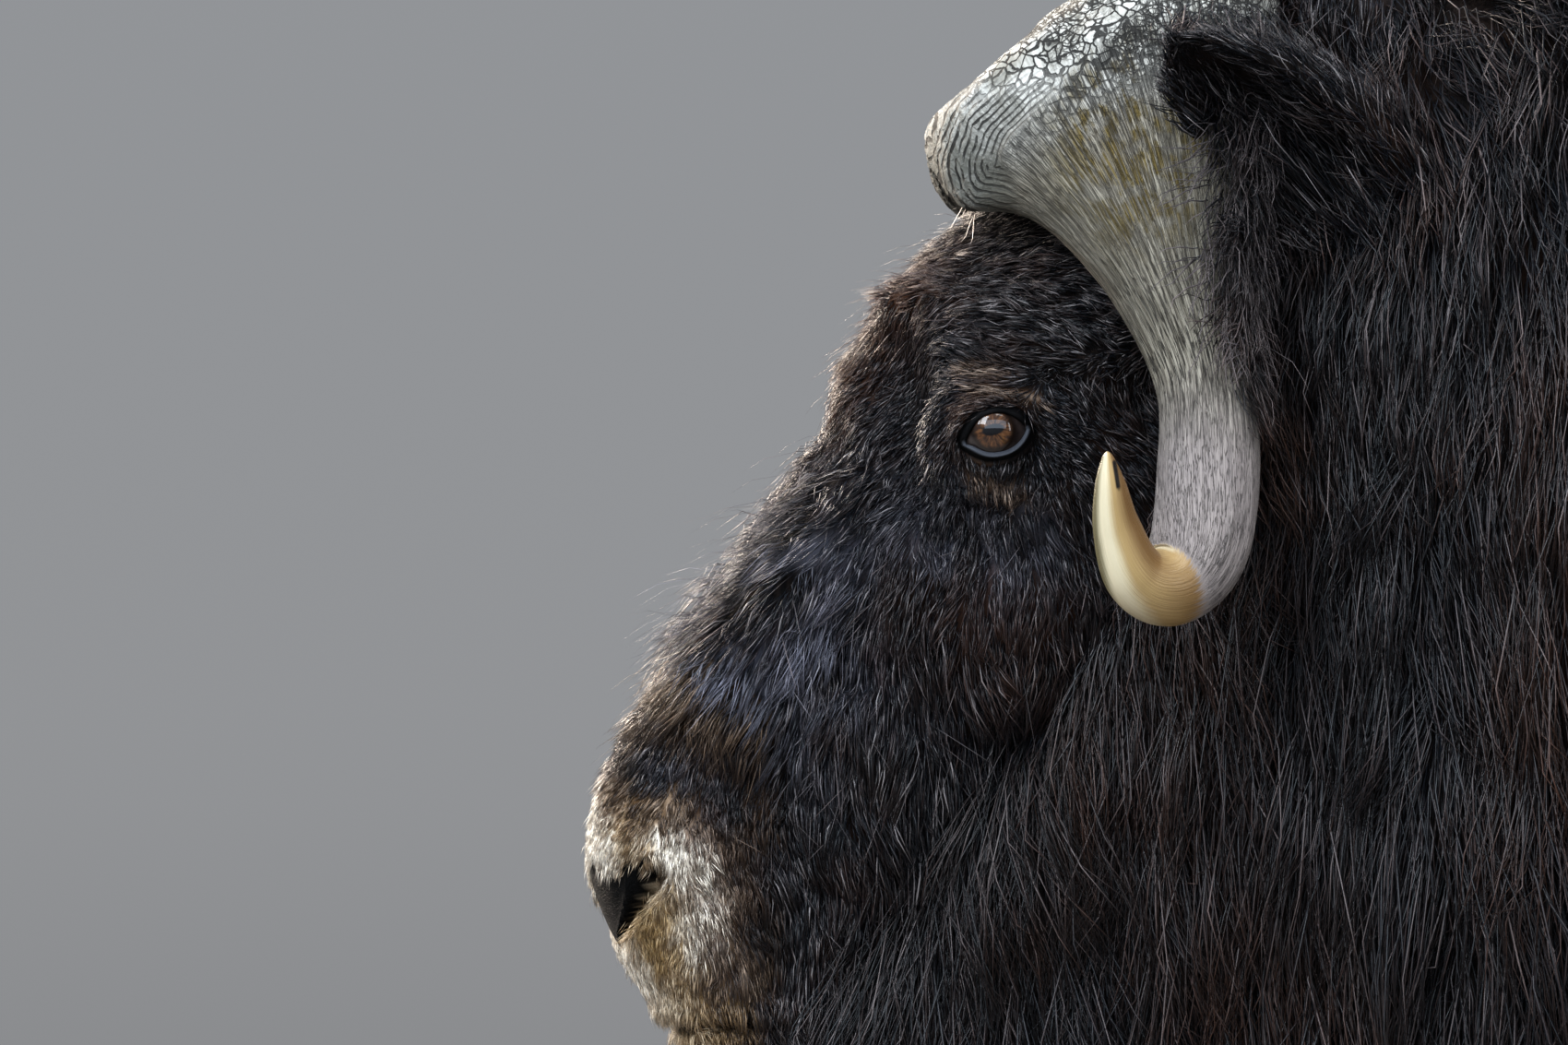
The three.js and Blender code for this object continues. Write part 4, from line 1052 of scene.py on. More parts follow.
# Short calls that build one material's nodes
class Paint:
    def __init__(self, name):
        self.material = bpy.data.materials.new(name)
        self.material.use_nodes = True
        self.tree = self.material.node_tree
        self.shader = self.tree.nodes["Principled BSDF"]

    def put(self, kind, inputs=(), output=0, **settings):
        node = self.tree.nodes.new(kind)
        for key, value in settings.items():
            setattr(node, key, value)
        for key, value in dict(inputs).items():
            self.feed(node.inputs[key], value)
        return node.outputs[output]

    def feed(self, socket, value):
        if isinstance(value, bpy.types.NodeSocket):
            self.tree.links.new(value, socket)
        else:
            socket.default_value = (*value, 1) if isinstance(value, tuple) and len(socket.default_value) == 4 else value

    def mark(self, name):
        return self.put("ShaderNodeAttribute", attribute_name=name, output=2)

    def place(self):
        return self.put("ShaderNodeTexCoord", output="Object")

    def high(self):
        return self.put("ShaderNodeSeparateXYZ", {0: self.place()}, 2)

    def sum(self, kind, a, b=0.0, c=0.0):
        return self.put("ShaderNodeMath", {0: a, 1: b, 2: c}, operation=kind)

    def times(self, first, *others):
        for value in others:
            first = self.sum("MULTIPLY", first, value)
        return first

    def plus(self, a, b):
        return self.sum("ADD", a, b)

    def most(self, a, b):
        return self.sum("MAXIMUM", a, b)

    def rest(self, value):
        return self.sum("SUBTRACT", 1.0, value)

    def blend(self, share, a, b, kind="MIX"):
        return self.put("ShaderNodeMix", {0: share, 6: a, 7: b}, output=2, data_type="RGBA", blend_type=kind)

    # Colours laid over one another, each by its own share
    def layers(self, colour, over):
        for share, tint in over:
            colour = self.blend(share, colour, tint)
        return colour

    def noise(self, scale, detail=3.0, place=None, output=0):
        return self.put("ShaderNodeTexNoise", {"Vector": place or self.place(), "Scale": scale, "Detail": detail}, output)

    def edges(self, scale, place):
        return self.put("ShaderNodeTexVoronoi", {"Vector": place, "Scale": scale}, feature="DISTANCE_TO_EDGE")

    def stretched(self, x, y, z):
        return self.put("ShaderNodeMapping", {"Vector": self.place(), "Scale": (x, y, z)})

    def step(self, value, low, high, to=(0.0, 1.0)):
        inputs = {0: value, 1: low, 2: high, 3: to[0], 4: to[1]}
        return self.put("ShaderNodeMapRange", inputs, interpolation_type="SMOOTHSTEP")

    def bump(self, height, depth, strength=1.0, under=None):
        inputs = {"Height": height, "Distance": depth, "Strength": strength}
        if under:
            inputs["Normal"] = under
        return self.put("ShaderNodeBump", inputs)

    def shade(self, **inputs):
        for key, value in inputs.items():
            self.feed(self.shader.inputs[key.replace("_", " ")], value)
        return self.material


coatTones = {
    # the reddish brown tone here is real brown in patches and painted rim glow on the bridge
    "black": (0.0034, 0.0028, 0.0032), "umber": (0.026, 0.017, 0.0155), "reddishBrownAndRimGlow": (0.098, 0.042, 0.021),
    # the pale bluish coat tone here is a painted sheen of sky light on the hair
    "paintedSheen": (0.27, 0.27, 0.33), "muzzleDark": (0.060, 0.034, 0.020), "muzzleTan": (0.27, 0.195, 0.145),
    "muzzlePale": (0.90, 0.82, 0.70), "gold": (0.40, 0.25, 0.085), "saddle": (0.30, 0.19, 0.105),
    "stocking": (0.52, 0.43, 0.32), "sheen": (0.66, 0.78, 1.0),
}


# The markings over a dark coat, among them a painted bluish sheen and a painted warm rim glow
def coatColour(paint, dark, patchy, uneven=1.0):
    muzzle = paint.times(paint.mark("muzzle"), uneven)
    return paint.layers(dark, [
        # brown: real patches and a ring round the eye, with painted warm rim glow on the bridge
        (paint.times(paint.mark("brownAndRimGlow"), patchy), coatTones["reddishBrownAndRimGlow"]),
        # painted bluish sheen on the nose and below the eye
        (paint.times(paint.mark("paintedSheen"), patchy), coatTones["paintedSheen"]),
        (paint.step(muzzle, 0.0, 0.3), coatTones["muzzleDark"]),
        (paint.step(muzzle, 0.25, 0.62), coatTones["muzzleTan"]),
        (paint.step(muzzle, 0.52, 0.86), coatTones["muzzlePale"]),
        (paint.times(paint.mark("gold"), paint.step(muzzle, 0.1, 0.5)), coatTones["gold"]),
        (paint.mark("saddle"), coatTones["saddle"]),
        (paint.mark("stocking"), coatTones["stocking"]),
    ])


def hairMaterial(name, rough, sheen, shine, glint, grey=False):
    paint = Paint(name)
    upward, tone = paint.mark("along"), paint.mark("tone")
    dark = paint.layers(coatTones["black"], [
        (paint.step(tone, 0.35, 0.8), coatTones["umber"]),
        (1.0 if grey else paint.step(tone, 0.82, 0.98), glint),
    ])
    colour = coatColour(paint, dark, paint.step(upward, 0.15, 0.9), paint.step(tone, 0.0, 1.0, (0.72, 1.2)))
    shadow = paint.times(paint.step(upward, -0.1, 0.7, (0.22, 1.0)), paint.step(tone, 0.0, 1.0, (0.6, 1.3)))
    shadow = paint.put("ShaderNodeCombineColor", {0: shadow, 1: shadow, 2: shadow})
    return paint.shade(Base_Color=paint.blend(1.0, colour, shadow, "MULTIPLY"), Roughness=rough, Specular_IOR_Level=shine,
                       Sheen_Weight=sheen, Sheen_Roughness=0.35, Sheen_Tint=coatTones["sheen"])


shortHair = hairMaterial("short_hair", 0.4, 0.05, 0.5, (0.19, 0.17, 0.165))
greyHair = hairMaterial("grey_hair", 0.4, 0.06, 0.4, (0.10, 0.082, 0.078), True)
longHair = hairMaterial("long_hair", 0.4, 0.04, 0.4, (0.085, 0.068, 0.064))
skinTones = {
    "wool": ((0.004, 0.0034, 0.0034), (0.016, 0.011, 0.009)), "bare": ((0.0012, 0.0012, 0.0013), (0.006, 0.0055, 0.0058)),
    # the grey-blue rim tone here is a painted highlight on the wet lid edges
    "wetAndPaintedHighlight": (0.045, 0.047, 0.054),
}


def skinMaterial():
    paint = Paint("skin_under_the_coat")
    strands = paint.noise(420.0, 4.0, paint.stretched(1.0, 1.0, 0.12))
    wool = coatColour(paint, paint.blend(paint.step(strands, 0.3, 0.75), *skinTones["wool"]), 0.5)
    bare, wetAndPaintedHighlight = paint.mark("bare"), paint.mark("wetAndPaintedHighlight")
    mottled = paint.blend(paint.step(paint.noise(90.0), 0.4, 0.7), *skinTones["bare"])
    # the wet lid rims get a grey-blue painted highlight colour
    colour = paint.layers(wool, [(bare, mottled), (paint.step(wetAndPaintedHighlight, 0.3, 1.0), skinTones["wetAndPaintedHighlight"])])
    rough = paint.sum("SUBTRACT", 0.72, paint.times(paint.most(paint.times(bare, 0.35), wetAndPaintedHighlight), 0.32))
    pores = paint.step(paint.edges(700.0, paint.place()), 0.0, 0.12)
    height = paint.sum("MULTIPLY_ADD", pores, paint.mark("pebbled"), paint.times(strands, paint.rest(bare)))
    return paint.shade(Base_Color=colour, Roughness=rough, Specular_IOR_Level=0.1, Normal=paint.bump(height, 0.0008, 0.8))


hornTones = {
    "bone": ((0.115, 0.100, 0.076), (0.300, 0.270, 0.215)), "chalk": ((0.235, 0.226, 0.198), (0.50, 0.485, 0.445)),
    # under is painted shade for the lower side of the front lobe
    "moss": (0.115, 0.084, 0.027), "under": (0.075, 0.075, 0.062), "lower": (0.225, 0.193, 0.182),
    "crack": (0.010, 0.009, 0.008), "tipBack": (0.15, 0.085, 0.035), "tipSide": (0.36, 0.25, 0.115),
    # the pale tip tone here is a painted highlight
    "tipPaintedHighlight": (0.60, 0.52, 0.36), "tipEdge": (0.13, 0.112, 0.062), "tipRoot": (0.20, 0.122, 0.055),
    "tipEnd": (0.10, 0.085, 0.05), "slit": (0.012, 0.009, 0.007),
}


def hornMaterial():
    paint = Paint("horn")
    place, mark = paint.place(), paint.mark
    length, girth, lobe, ivoryAt, wrinkled = (mark(name) for name in ("length", "girth", "lobe", "ivory", "wrinkled"))
    def fibreSpace(turns, lengths):
        x, y = paint.times(mark("roundCos"), turns), paint.times(mark("roundSin"), turns)
        return paint.put("ShaderNodeCombineXYZ", {0: x, 1: y, 2: paint.times(length, lengths)})
    def warped(vector, scale, by):
        push = paint.put("ShaderNodeVectorMath", {0: paint.noise(scale, 3.0, place, 1), 3: by}, operation="SCALE")
        return paint.put("ShaderNodeVectorMath", {0: vector, 1: push}, operation="ADD")
    def crack(vector, scale, width):
        return paint.step(paint.edges(scale, vector), width, 0.4 * width)
    # thin dark lines where the noise crosses its middle
    def lines(space, scale, width):
        away = paint.sum("ABSOLUTE", paint.sum("SUBTRACT", paint.noise(scale, 2.0, space), 0.5))
        return paint.step(away, width, width * 0.25)
    def patches(scale, detail, low, high):
        return paint.step(paint.noise(scale, detail, place), low, high)
    shaftThreads = warped(fibreSpace(9.0, 16.0), 40.0, 0.25)
    crownThreads = warped(fibreSpace(26.0, 22.0), 40.0, 0.4)
    lowerHalf, crown = paint.step(length, 0.27, 0.35), paint.step(mark("boss"), 0.5, 1.0)
    shaftLines = paint.blend(lowerHalf, lines(shaftThreads, 2.2, 0.05), lines(shaftThreads, 4.2, 0.045))
    crownLines = paint.most(lines(crownThreads, 1.4, 0.05), lines(crownThreads, 2.7, 0.04))
    grooves = paint.most(paint.times(shaftLines, paint.rest(girth)), paint.times(crownLines, girth))
    grooves = paint.times(grooves, paint.rest(lobe), paint.step(ivoryAt, 0.5, 0.1),
                          paint.step(lowerHalf, 0.0, 1.0, (1.0, 0.62)))
    fibres = paint.blend(girth, paint.noise(2.6, 4.0, shaftThreads), paint.noise(2.2, 4.0, crownThreads))
    cracks = paint.times(crack(warped(place, 150.0, 0.006), 300.0, 0.12), patches(26.0, 4.0, 0.40, 0.58))
    plates = paint.times(crack(warped(place, 70.0, 0.012), 140.0, 0.10), patches(18.0, 4.0, 0.32, 0.44))
    cells = paint.times(paint.most(cracks, plates), crown, paint.rest(paint.times(wrinkled, 0.8)))
    wrinkleAt = paint.plus(paint.times(mark("gap"), 1.9), paint.times(paint.noise(45.0, 5.0, place), 9.0))
    wrinkles = paint.times(paint.step(paint.sum("SINE", wrinkleAt), 0.25, 0.85), wrinkled, patches(70.0, 3.0, 0.32, 0.44))
    chalky = paint.step(paint.plus(paint.noise(45.0, 6.0, place), paint.times(fibres, 0.6)), 0.62, 0.98)
    mossy = paint.times(patches(75.0, 8.0, 0.42, 0.56), paint.step(paint.noise(1.6, 5.0, crownThreads), 0.36, 0.6),
                        paint.step(mark("moss"), 0.05, 0.6))
    bone = paint.layers(paint.blend(paint.step(fibres, 0.36, 0.66), *hornTones["bone"]), [
        (paint.times(crown, 0.9), paint.blend(chalky, *hornTones["chalk"])),
        (mossy, hornTones["moss"]),
        # painted shade darkens the lower side of the front lobe
        (paint.times(lobe, paint.step(paint.high(), 1.145, 1.095), 0.75), hornTones["under"]),
        (paint.times(lowerHalf, 0.86), hornTones["lower"]),
        (paint.times(grooves, 0.9), hornTones["crack"]),
        (paint.times(wrinkles, 0.9), hornTones["crack"]),
        (paint.times(cells, 0.95), hornTones["crack"]),
    ])
    streaks = paint.noise(3.6, 4.0, shaftThreads)
    # The tip is coloured by which way each point faces: brown at the back, golden, then a pale painted highlight where
    # it faces sideways, and a dark olive forward edge
    facing = paint.plus(mark("front"), paint.sum("MULTIPLY_ADD", streaks, 0.3, -0.15))
    tip = paint.layers(hornTones["tipBack"], [
        (paint.step(facing, -0.75, -0.15), hornTones["tipSide"]),
        (paint.step(facing, -0.15, 0.3), hornTones["tipPaintedHighlight"]),
        (paint.step(facing, 0.55, 0.9), hornTones["tipEdge"]),
        (paint.step(length, 0.455, 0.385), hornTones["tipRoot"]),
        (paint.step(length, 0.533, 0.545), hornTones["tipEnd"]),
        (mark("slit"), hornTones["slit"]),
    ])
    ivory = paint.step(paint.plus(ivoryAt, paint.times(streaks, 0.7)), 0.75, 1.0)
    deep = paint.times(paint.most(cells, paint.most(wrinkles, paint.times(grooves, 0.7))), paint.rest(ivory), -1.0)
    return paint.shade(Base_Color=paint.blend(ivory, bone, tip), Specular_IOR_Level=0.18,
                       Roughness=paint.sum("SUBTRACT", 0.78, paint.times(ivory, 0.48)),
                       Normal=paint.bump(deep, 0.0018, 1.0, paint.bump(fibres, 0.0007, 0.5)))


def hoofMaterial():
    paint = Paint("hoof")
    bands = paint.noise(60.0, 5.0, paint.stretched(1.0, 1.0, 3.0))
    colour = paint.blend(paint.step(bands, 0.35, 0.7), (0.012, 0.010, 0.009), (0.052, 0.043, 0.036))
    dusty = paint.times(paint.step(paint.high(), 0.03, 0.0), 0.6)
    return paint.shade(Base_Color=paint.blend(dusty, colour, (0.16, 0.13, 0.10)),
                       Roughness=paint.step(bands, 0.2, 0.8, (0.35, 0.6)), Normal=paint.bump(bands, 0.0012, 0.7))


eyeTones = {
    "iris": ((0.022, 0.009, 0.004), (0.110, 0.048, 0.018)), "rim": (0.010, 0.005, 0.003), "pupil": (0.002, 0.002, 0.003),
    "white": ((0.035, 0.025, 0.022), (0.014, 0.009, 0.008)),
}


def eyeMaterial():
    paint = Paint("eye")
    across, up = paint.mark("eyeAcross"), paint.mark("eyeUp")
    # the distance from the middle, each way counted in its own half-width
    def reach(wide, tall):
        a, b = (paint.sum("POWER", paint.sum("DIVIDE", value, size), 2.0) for value, size in ((across, wide), (up, tall)))
        return paint.sum("SQRT", paint.plus(a, b))
    out = reach(1.0, 1.0)
    x, y = paint.sum("DIVIDE", across, out), paint.sum("DIVIDE", up, out)
    spokesAt = paint.put("ShaderNodeCombineXYZ", {0: x, 1: y, 2: out})
    iris = paint.blend(paint.step(paint.noise(5.0, 6.0, spokesAt), 0.35, 0.68), *eyeTones["iris"])
    iris = paint.blend(paint.step(out, 0.40, 0.56), iris, eyeTones["rim"])
    iris = paint.blend(paint.step(reach(0.31, 0.155), 0.85, 1.15), eyeTones["pupil"], iris)
    white = paint.blend(paint.step(paint.noise(120.0, 4.0), 0.4, 0.7), *eyeTones["white"])
    return paint.shade(Base_Color=paint.blend(paint.step(out, 0.56, 0.66), iris, white), Roughness=0.6,
                       Specular_IOR_Level=0.1, Coat_Weight=1.0, Coat_Roughness=0.02, Coat_IOR=1.45)


for pieces, material in (([skin], skinMaterial()), (hornPieces, hornMaterial()), (toes, hoofMaterial()),
                         (eyes, eyeMaterial())):
    for piece in pieces:
        piece.data.materials.append(material)
print("materials")

# Combing guides: a place in the side view, then the lie's way back and up, length, lift in degrees, half-width
guides = {
    "head": [
        [(-917, 1050), (-1, -0.15, 14, 26, 0.55)], [(-967, 1055), (-0.9, -0.35, 14, 28, 0.55)],
        [(-992, 1025), (-0.7, -0.7, 15, 32, 0.55)], [(-877, 1020), (-0.95, 0.1, 13, 24, 0.55)],
        [(-930, 992), (-0.85, 0.25, 9, 22, 0.45)], [(-967, 970), (-0.6, -0.8, 9, 22, 0.45)],
        [(-987, 915), (-0.5, -0.86, 15, 26, 0.55)], [(-892, 965), (0.8, -0.3, 9, 22, 0.45)],
        [(-857, 960), (0.7, -0.7, 15, 24, 0.55)], [(-930, 930), (0.15, -1, 8, 22, 0.45)],
        [(-892, 895), (0.3, -0.95, 17, 24, 0.55)], [(-942, 885), (-0.05, -1, 17, 24, 0.55)],
        [(-1017, 915), (-0.72, -0.69, 26, 36, 0.6)], [(-1052, 885), (-0.7, -0.7, 30, 38, 0.6)],
        [(-1077, 855), (-0.62, -0.78, 32, 34, 0.6)], [(-1042, 845), (-0.4, -0.92, 33, 28, 0.6)],
        [(-1002, 855), (-0.15, -1, 28, 26, 0.6)], [(-1107, 815), (-0.6, -0.8, 20, 28, 0.55)],
        [(-1117, 785), (-0.5, -0.85, 12, 20, 0.5)], [(-1067, 795), (-0.25, -0.97, 18, 20, 0.55)],
        [(-1017, 795), (0, -1, 24, 22, 0.6)], [(-967, 815), (0.1, -1, 30, 22, 0.6)],
        [(-917, 815), (0.15, -1, 36, 22, 0.65)], [(-867, 815), (0.15, -1, 50, 24, 0.7)],
        [(-1132, 760), (-0.25, -0.95, 6, 18, 0.36)], [(-1087, 755), (0.1, -1, 9, 18, 0.42)],
        [(-1087, 715), (0.3, -0.95, 9, 20, 0.42)], [(-1107, 675), (-0.1, -1, 8, 20, 0.4)],
        [(-1067, 675), (0.1, -1, 14, 20, 0.45)], [(-1027, 745), (0.1, -1, 24, 20, 0.55)],
        [(-1027, 675), (0.15, -1, 28, 22, 0.6)], [(-967, 745), (0.12, -1, 46, 22, 0.65)],
        [(-967, 655), (0.1, -1, 70, 24, 0.7)], [(-917, 720), (0.1, -1, 66, 24, 0.7)],
        [(-1072, 632), (0.3, -0.95, 13, 22, 0.45)], [(-800, 1080), (0.6, -0.8, 38, 30, 0.7)],
        [(-800, 900), (0.2, -1, 45, 24, 0.7)],
    ],
    "neck": [
        [(-1030, 640), (0.1, -1, 85, 16, 0.8)], [(-950, 620), (0.08, -1, 120, 16, 0.85)],
        [(-860, 760), (0.1, -1, 90, 15, 0.75)], [(-860, 560), (0.05, -1, 130, 14, 0.9)],
        [(-760, 1150), (0.45, -0.8, 55, 28, 0.75)], [(-760, 1000), (0.15, -1, 60, 20, 0.7)],
        [(-740, 850), (0.12, -1, 90, 15, 0.75)], [(-720, 650), (0.05, -1, 120, 14, 0.85)],
        [(-620, 1260), (0.7, -0.6, 70, 26, 0.85)], [(-620, 1050), (0.25, -1, 85, 16, 0.8)],
        [(-600, 800), (0.1, -1, 120, 13, 0.9)], [(-640, 480), (0.05, -1, 120, 12, 1.1)],
    ],
    "chest": [[(-1040, 600), (0.3, -1, 60, 30, 0.7)], [(-900, 500), (0.3, -1, 90, 35, 0.9)],
              [(-560, 380), (0.3, -1, 110, 30, 1.3)]],
    "body": [
        [(-450, 1370), (0.75, -0.5, 80, 20, 1.5)], [(-430, 1150), (0.3, -0.95, 110, 14, 1.8)],
        [(-420, 850), (0.12, -1, 150, 12, 2.1)], [(-420, 450), (0.05, -1, 150, 9, 2.3)],
        [(-250, 1360), (0.95, -0.3, 80, 16, 1.6)], [(-150, 1150), (0.45, -0.9, 120, 13, 1.9)],
        [(0, 1280), (1, -0.15, 55, 14, 1.6)], [(100, 1080), (0.45, -0.9, 130, 12, 2.0)],
        [(100, 800), (0.15, -1, 170, 11, 2.3)], [(100, 450), (0.03, -1, 160, 8, 2.5)],
        [(350, 1250), (1, -0.15, 60, 14, 1.7)], [(450, 1050), (0.4, -0.9, 130, 12, 2.1)],
        [(600, 750), (0.15, -1, 170, 11, 2.4)], [(600, 450), (0.03, -1, 160, 8, 2.5)],
        [(750, 1210), (0.85, -0.4, 80, 14, 1.8)], [(850, 1000), (0.45, -0.9, 130, 12, 2.1)],
        [(950, 750), (0.2, -1, 170, 11, 2.4)], [(1020, 850), (0.3, -0.95, 120, 12, 2.1)],
    ],
    "legs": [[(-320, 400), (0.1, -1, 22, 16, 1.1)], [(-325, 130), (0.05, -1, 15, 16, 1.0)],
             [(790, 400), (0.1, -1, 22, 16, 1.1)], [(775, 130), (0.05, -1, 15, 16, 1.0)],
             [(-330, 75), (-0.3, -1, 16, 18, 1.0)], [(765, 75), (-0.3, -1, 16, 18, 1.0)]],
    "wisps": [[(-800, 1120), (-0.35, -0.75, 42, 40, 0.32)], [(-790, 1000), (-0.2, -1, 40, 32, 0.32)]],
    "fringe": [[(-815, 1160), (0.1, -0.9, 34, 34, 0.4)], [(-800, 1080), (-0.15, -1, 40, 34, 0.4)],
               [(-795, 1000), (0.1, -1, 36, 26, 0.38)]],
    "ear": [[(-750, 1056), (46, 30, 0.42)], [(-800, 1130), (30, 28, 0.34)], [(-839, 1166), (11, 13, 0.3)]],
    "tail": [[(1080, 900), (0.1, -1, 60, 18, 1.6)]],
}


# 0 beside one eye, 1 beyond its lids
def clearOfEye(points):
    keep = np.ones(len(points))
    for side in sides.values():
        out, front, up = lidAxes(side)
        away = points - eyeAt * [1, side, 1]
        reach = np.hypot(away @ front / lidForm["reach"][0], away @ up / lidForm["reach"][1])
        keep *= ease(0.78, 0.95, reach) + (away @ out < -20)
    return np.clip(keep, 0, 1)


def lidWeight(side):
    out, front, up = lidAxes(side)
    def weigh(centre, normal):
        away = centre - eyeAt * [1, side, 1]
        f, u = away @ front + 2.6, away @ up + 2.4
        return ease(1.18, 1.45, np.hypot(f / 15.4, u / np.where(u > 0, 11.2, 10.4))) * (away @ out > -8)
    return weigh


def headWeight(side, lowPart):
    def weigh(centre, normal):
        s, h = onHead(centre)
        split = ease(-6, 6, (s - 0.55 * h) - 300)
        mine = (split if lowPart else 1 - split) * (np.sign(centre[:, 1] + 1e-6) == side)
        under = ease(620, 630, centre[:, 2])
        return mine * clearOfEye(centre) * (1 - nosePad(centre)) * (s > -125) * (s < 549) * np.maximum(under, s < 440)
    return weigh


def strayWeight(side):
    def weigh(centre, normal):
        whole = headWeight(side, False)(centre, normal) + headWeight(side, True)(centre, normal)
        return whole * ease(500, 440, onHead(centre)[0])
    return weigh


# Between two places along the body, on the outside of the coat only
def bodyWeight(side, low, high, blend=20):
    def weigh(centre, normal):
        x = centre[:, 0]
        outside = ease(-0.75, -0.4, normal[:, 2]) * (np.sign(centre[:, 1] + 1e-6) == side)
        inner = (np.abs(centre[:, 1]) < 300) & (centre[:, 2] < 640) & (normal[:, 1] * centre[:, 1] < 0) & (x > -600)
        return outside * ease(low - blend, low + blend, x) * ease(high + blend, high - blend, x) * ~inner
    return weigh


# Over the back edge of the horn
def wispWeight(side):
    def weigh(c, n):
        behind = ease(0.1, 0.7, n[:, 0]) * ease(-0.5, 0.2, n[:, 1] * side)
        return behind * ease(985, 1010, c[:, 2]) * ease(1165, 1140, c[:, 2]) * (np.abs(c[:, 1]) > 60)
    return weigh


def fringeWeight(side):
    def weigh(c, n):
        edge = np.interp(c[:, 2], [985, 1035, 1100, 1145, 1185], [-802, -810, -812, -822, -838])
        behind = ease(-7, 5, c[:, 0] - edge) * (n[:, 1] * side > -0.6)
        return behind * ease(960, 1000, c[:, 2]) * ease(1195, 1180, c[:, 2]) * (np.abs(c[:, 1]) > 60)
    return weigh


def chestWeight(c, n):
    return ease(-430, -500, c[:, 0]) * ease(-0.1, -0.45, n[:, 2]) * ease(700, 640, c[:, 2])


def rearWeight(c, n):
    bare = np.maximum(ease(150, 90, np.abs(c[:, 1])), ease(480, 440, c[:, 2]))
    return ease(990, 1030, c[:, 0]) * bare * ease(900, 840, c[:, 2])


def hemAt(points):
    rows = np.array(coatForm["outline"])
    return np.interp(points[:, 0], rows[:, 0], rows[:, 2])


plenty = {"left": 1.0, "right": 0.47}  # the photographed side has finer, more hair
underHorns = [(tree, 0.0) for tree in hornTrees]
underCoat = underHorns + [(bodyTree, -12.0)]
faceLook = {"segments": 2, "blur": 24, "bend": 0.6, "swirl": 0.32, "stray": 0.17, "clump": 0.6, "clumpSize": 26,
            "material": shortHair, "spread": 0.15}
neckLook = {"segments": 3, "blur": 60, "bend": 0.5, "droop": 0.3, "wave": 0.34, "swirl": 0.42, "swirlSize": 45,
            "clump": 0.62, "clumpSize": 26, "hug": 9, "material": longHair, "spread": 0.1, "lowest": hemAt}
sideLook = {"segments": 3, "blur": 90, "bend": 0.5, "droop": 0.3, "wave": 0.16, "swirlSize": 90, "stray": 0.1,
            "clump": 0.5, "clumpSize": 16, "material": longHair, "spread": 0.15, "lowest": hemAt}
for name, side in sides.items():
    share, least, right = plenty[name], max(plenty[name], 0.6), side > 0
    wider = 1 / math.sqrt(share)
    def finer(table, by=1.0):
        return [[place, (*v[:2], v[2] * 1.15, v[3], v[4] * by * wider)] for place, v in table]
    for part, low, count in (("face", False, 36000), ("cheek", True, 33000)):
        growFur({**faceLook, "name": f"fur_{part}_{name}", "shell": head, "weigh": headWeight(side, low),
                 "count": int(count * share), "guides": finer(guides["head"], 0.66), "seed": 10 + 2 * low + right,
                 "avoid": underCoat})
    growFur({
        "name": "fur_lids_" + name, "shell": lids[name], "weigh": lidWeight(side), "count": int(4200 * least),
        "guides": finer(guides["head"], 0.75), "seed": 30 + right, "segments": 2, "blur": 16, "bend": 0.55, "swirl": 0.2,
        "clump": 0.2, "material": shortHair, "sink": 0.6,
    })
    for i, (part, low, high) in enumerate((("front", -1100, -835), ("rear", -835, -560))):
        growFur({**neckLook, "name": f"fur_neck_{part}_{name}", "shell": body, "weigh": bodyWeight(side, low, high, 12),
                 "count": int(15500 * share ** 2), "guides": finer(guides["neck"], 0.62 * wider),
                 "seed": 40 + 2 * i + right, "avoid": underHorns + [(headTree, -8.0)]})
    for i, (low, high) in enumerate([(-560, -20), (-20, 520), (520, 1100)]):
        growFur({**sideLook, "name": f"fur_side_{i}_{name}", "shell": body, "weigh": bodyWeight(side, low, high),
                 "count": 3900, "guides": guides["body"], "hug": 10, "seed": 50 + 2 * i + right})
    # long stray hairs over the face, wisps over the back edge of the horn, and the fringe behind it
    growFur({
        "name": "fur_stray_" + name, "shell": head, "weigh": strayWeight(side), "count": 2600,
        "guides": [[place, (v[0], v[1], v[2] * 1.5, v[3] * 1.4, 0.2)] for place, v in guides["head"]],
        "seed": 60 + right, "segments": 3, "blur": 24, "bend": 0.4, "swirl": 0.5, "stray": 0.35, "material": greyHair,
        "spread": 0.15, "avoid": underCoat,
    })
    growFur({
        "name": "fur_wisps_" + name, "shell": horns[name], "weigh": wispWeight(side), "count": int(900 * least),
        "guides": guides["wisps"], "seed": 64 + right, "segments": 4, "sink": 3, "blur": 40, "bend": 0.35, "swirl": 0.7,
        "stray": 0.35, "wave": 0.3, "clump": 0.3, "material": greyHair, "spread": 0.5,
    })
    growFur({
        "name": "fur_fringe_" + name, "shell": horns[name], "weigh": fringeWeight(side), "count": int(2600 * least),
        "guides": guides["fringe"], "seed": 66 + right, "segments": 3, "sink": 3, "blur": 40, "bend": 0.5, "swirl": 0.9,
        "stray": 0.3, "wave": 0.5, "clump": 0.5, "material": longHair, "spread": 0.4,
    })
    ear = ears[name]
    growFur({
        "name": "fur_ear_" + name, "shell": ear, "weigh": lambda c, n, ear=ear: 1 - 0.1 * ease(0.2, 0.7, n @ ear.facing),
        "count": int(4600 * least), "guides": [[place, (ear.onward[0], ear.onward[2], *v)] for place, v in guides["ear"]],
        "seed": 70 + right, "segments": 3, "sink": 0.5, "blur": 20, "spread": ear.onward[1] * side, "bend": 0.35,
        "swirl": 0.3, "stray": 0.25, "clump": 0.4, "material": shortHair, "avoid": underHorns,
    })
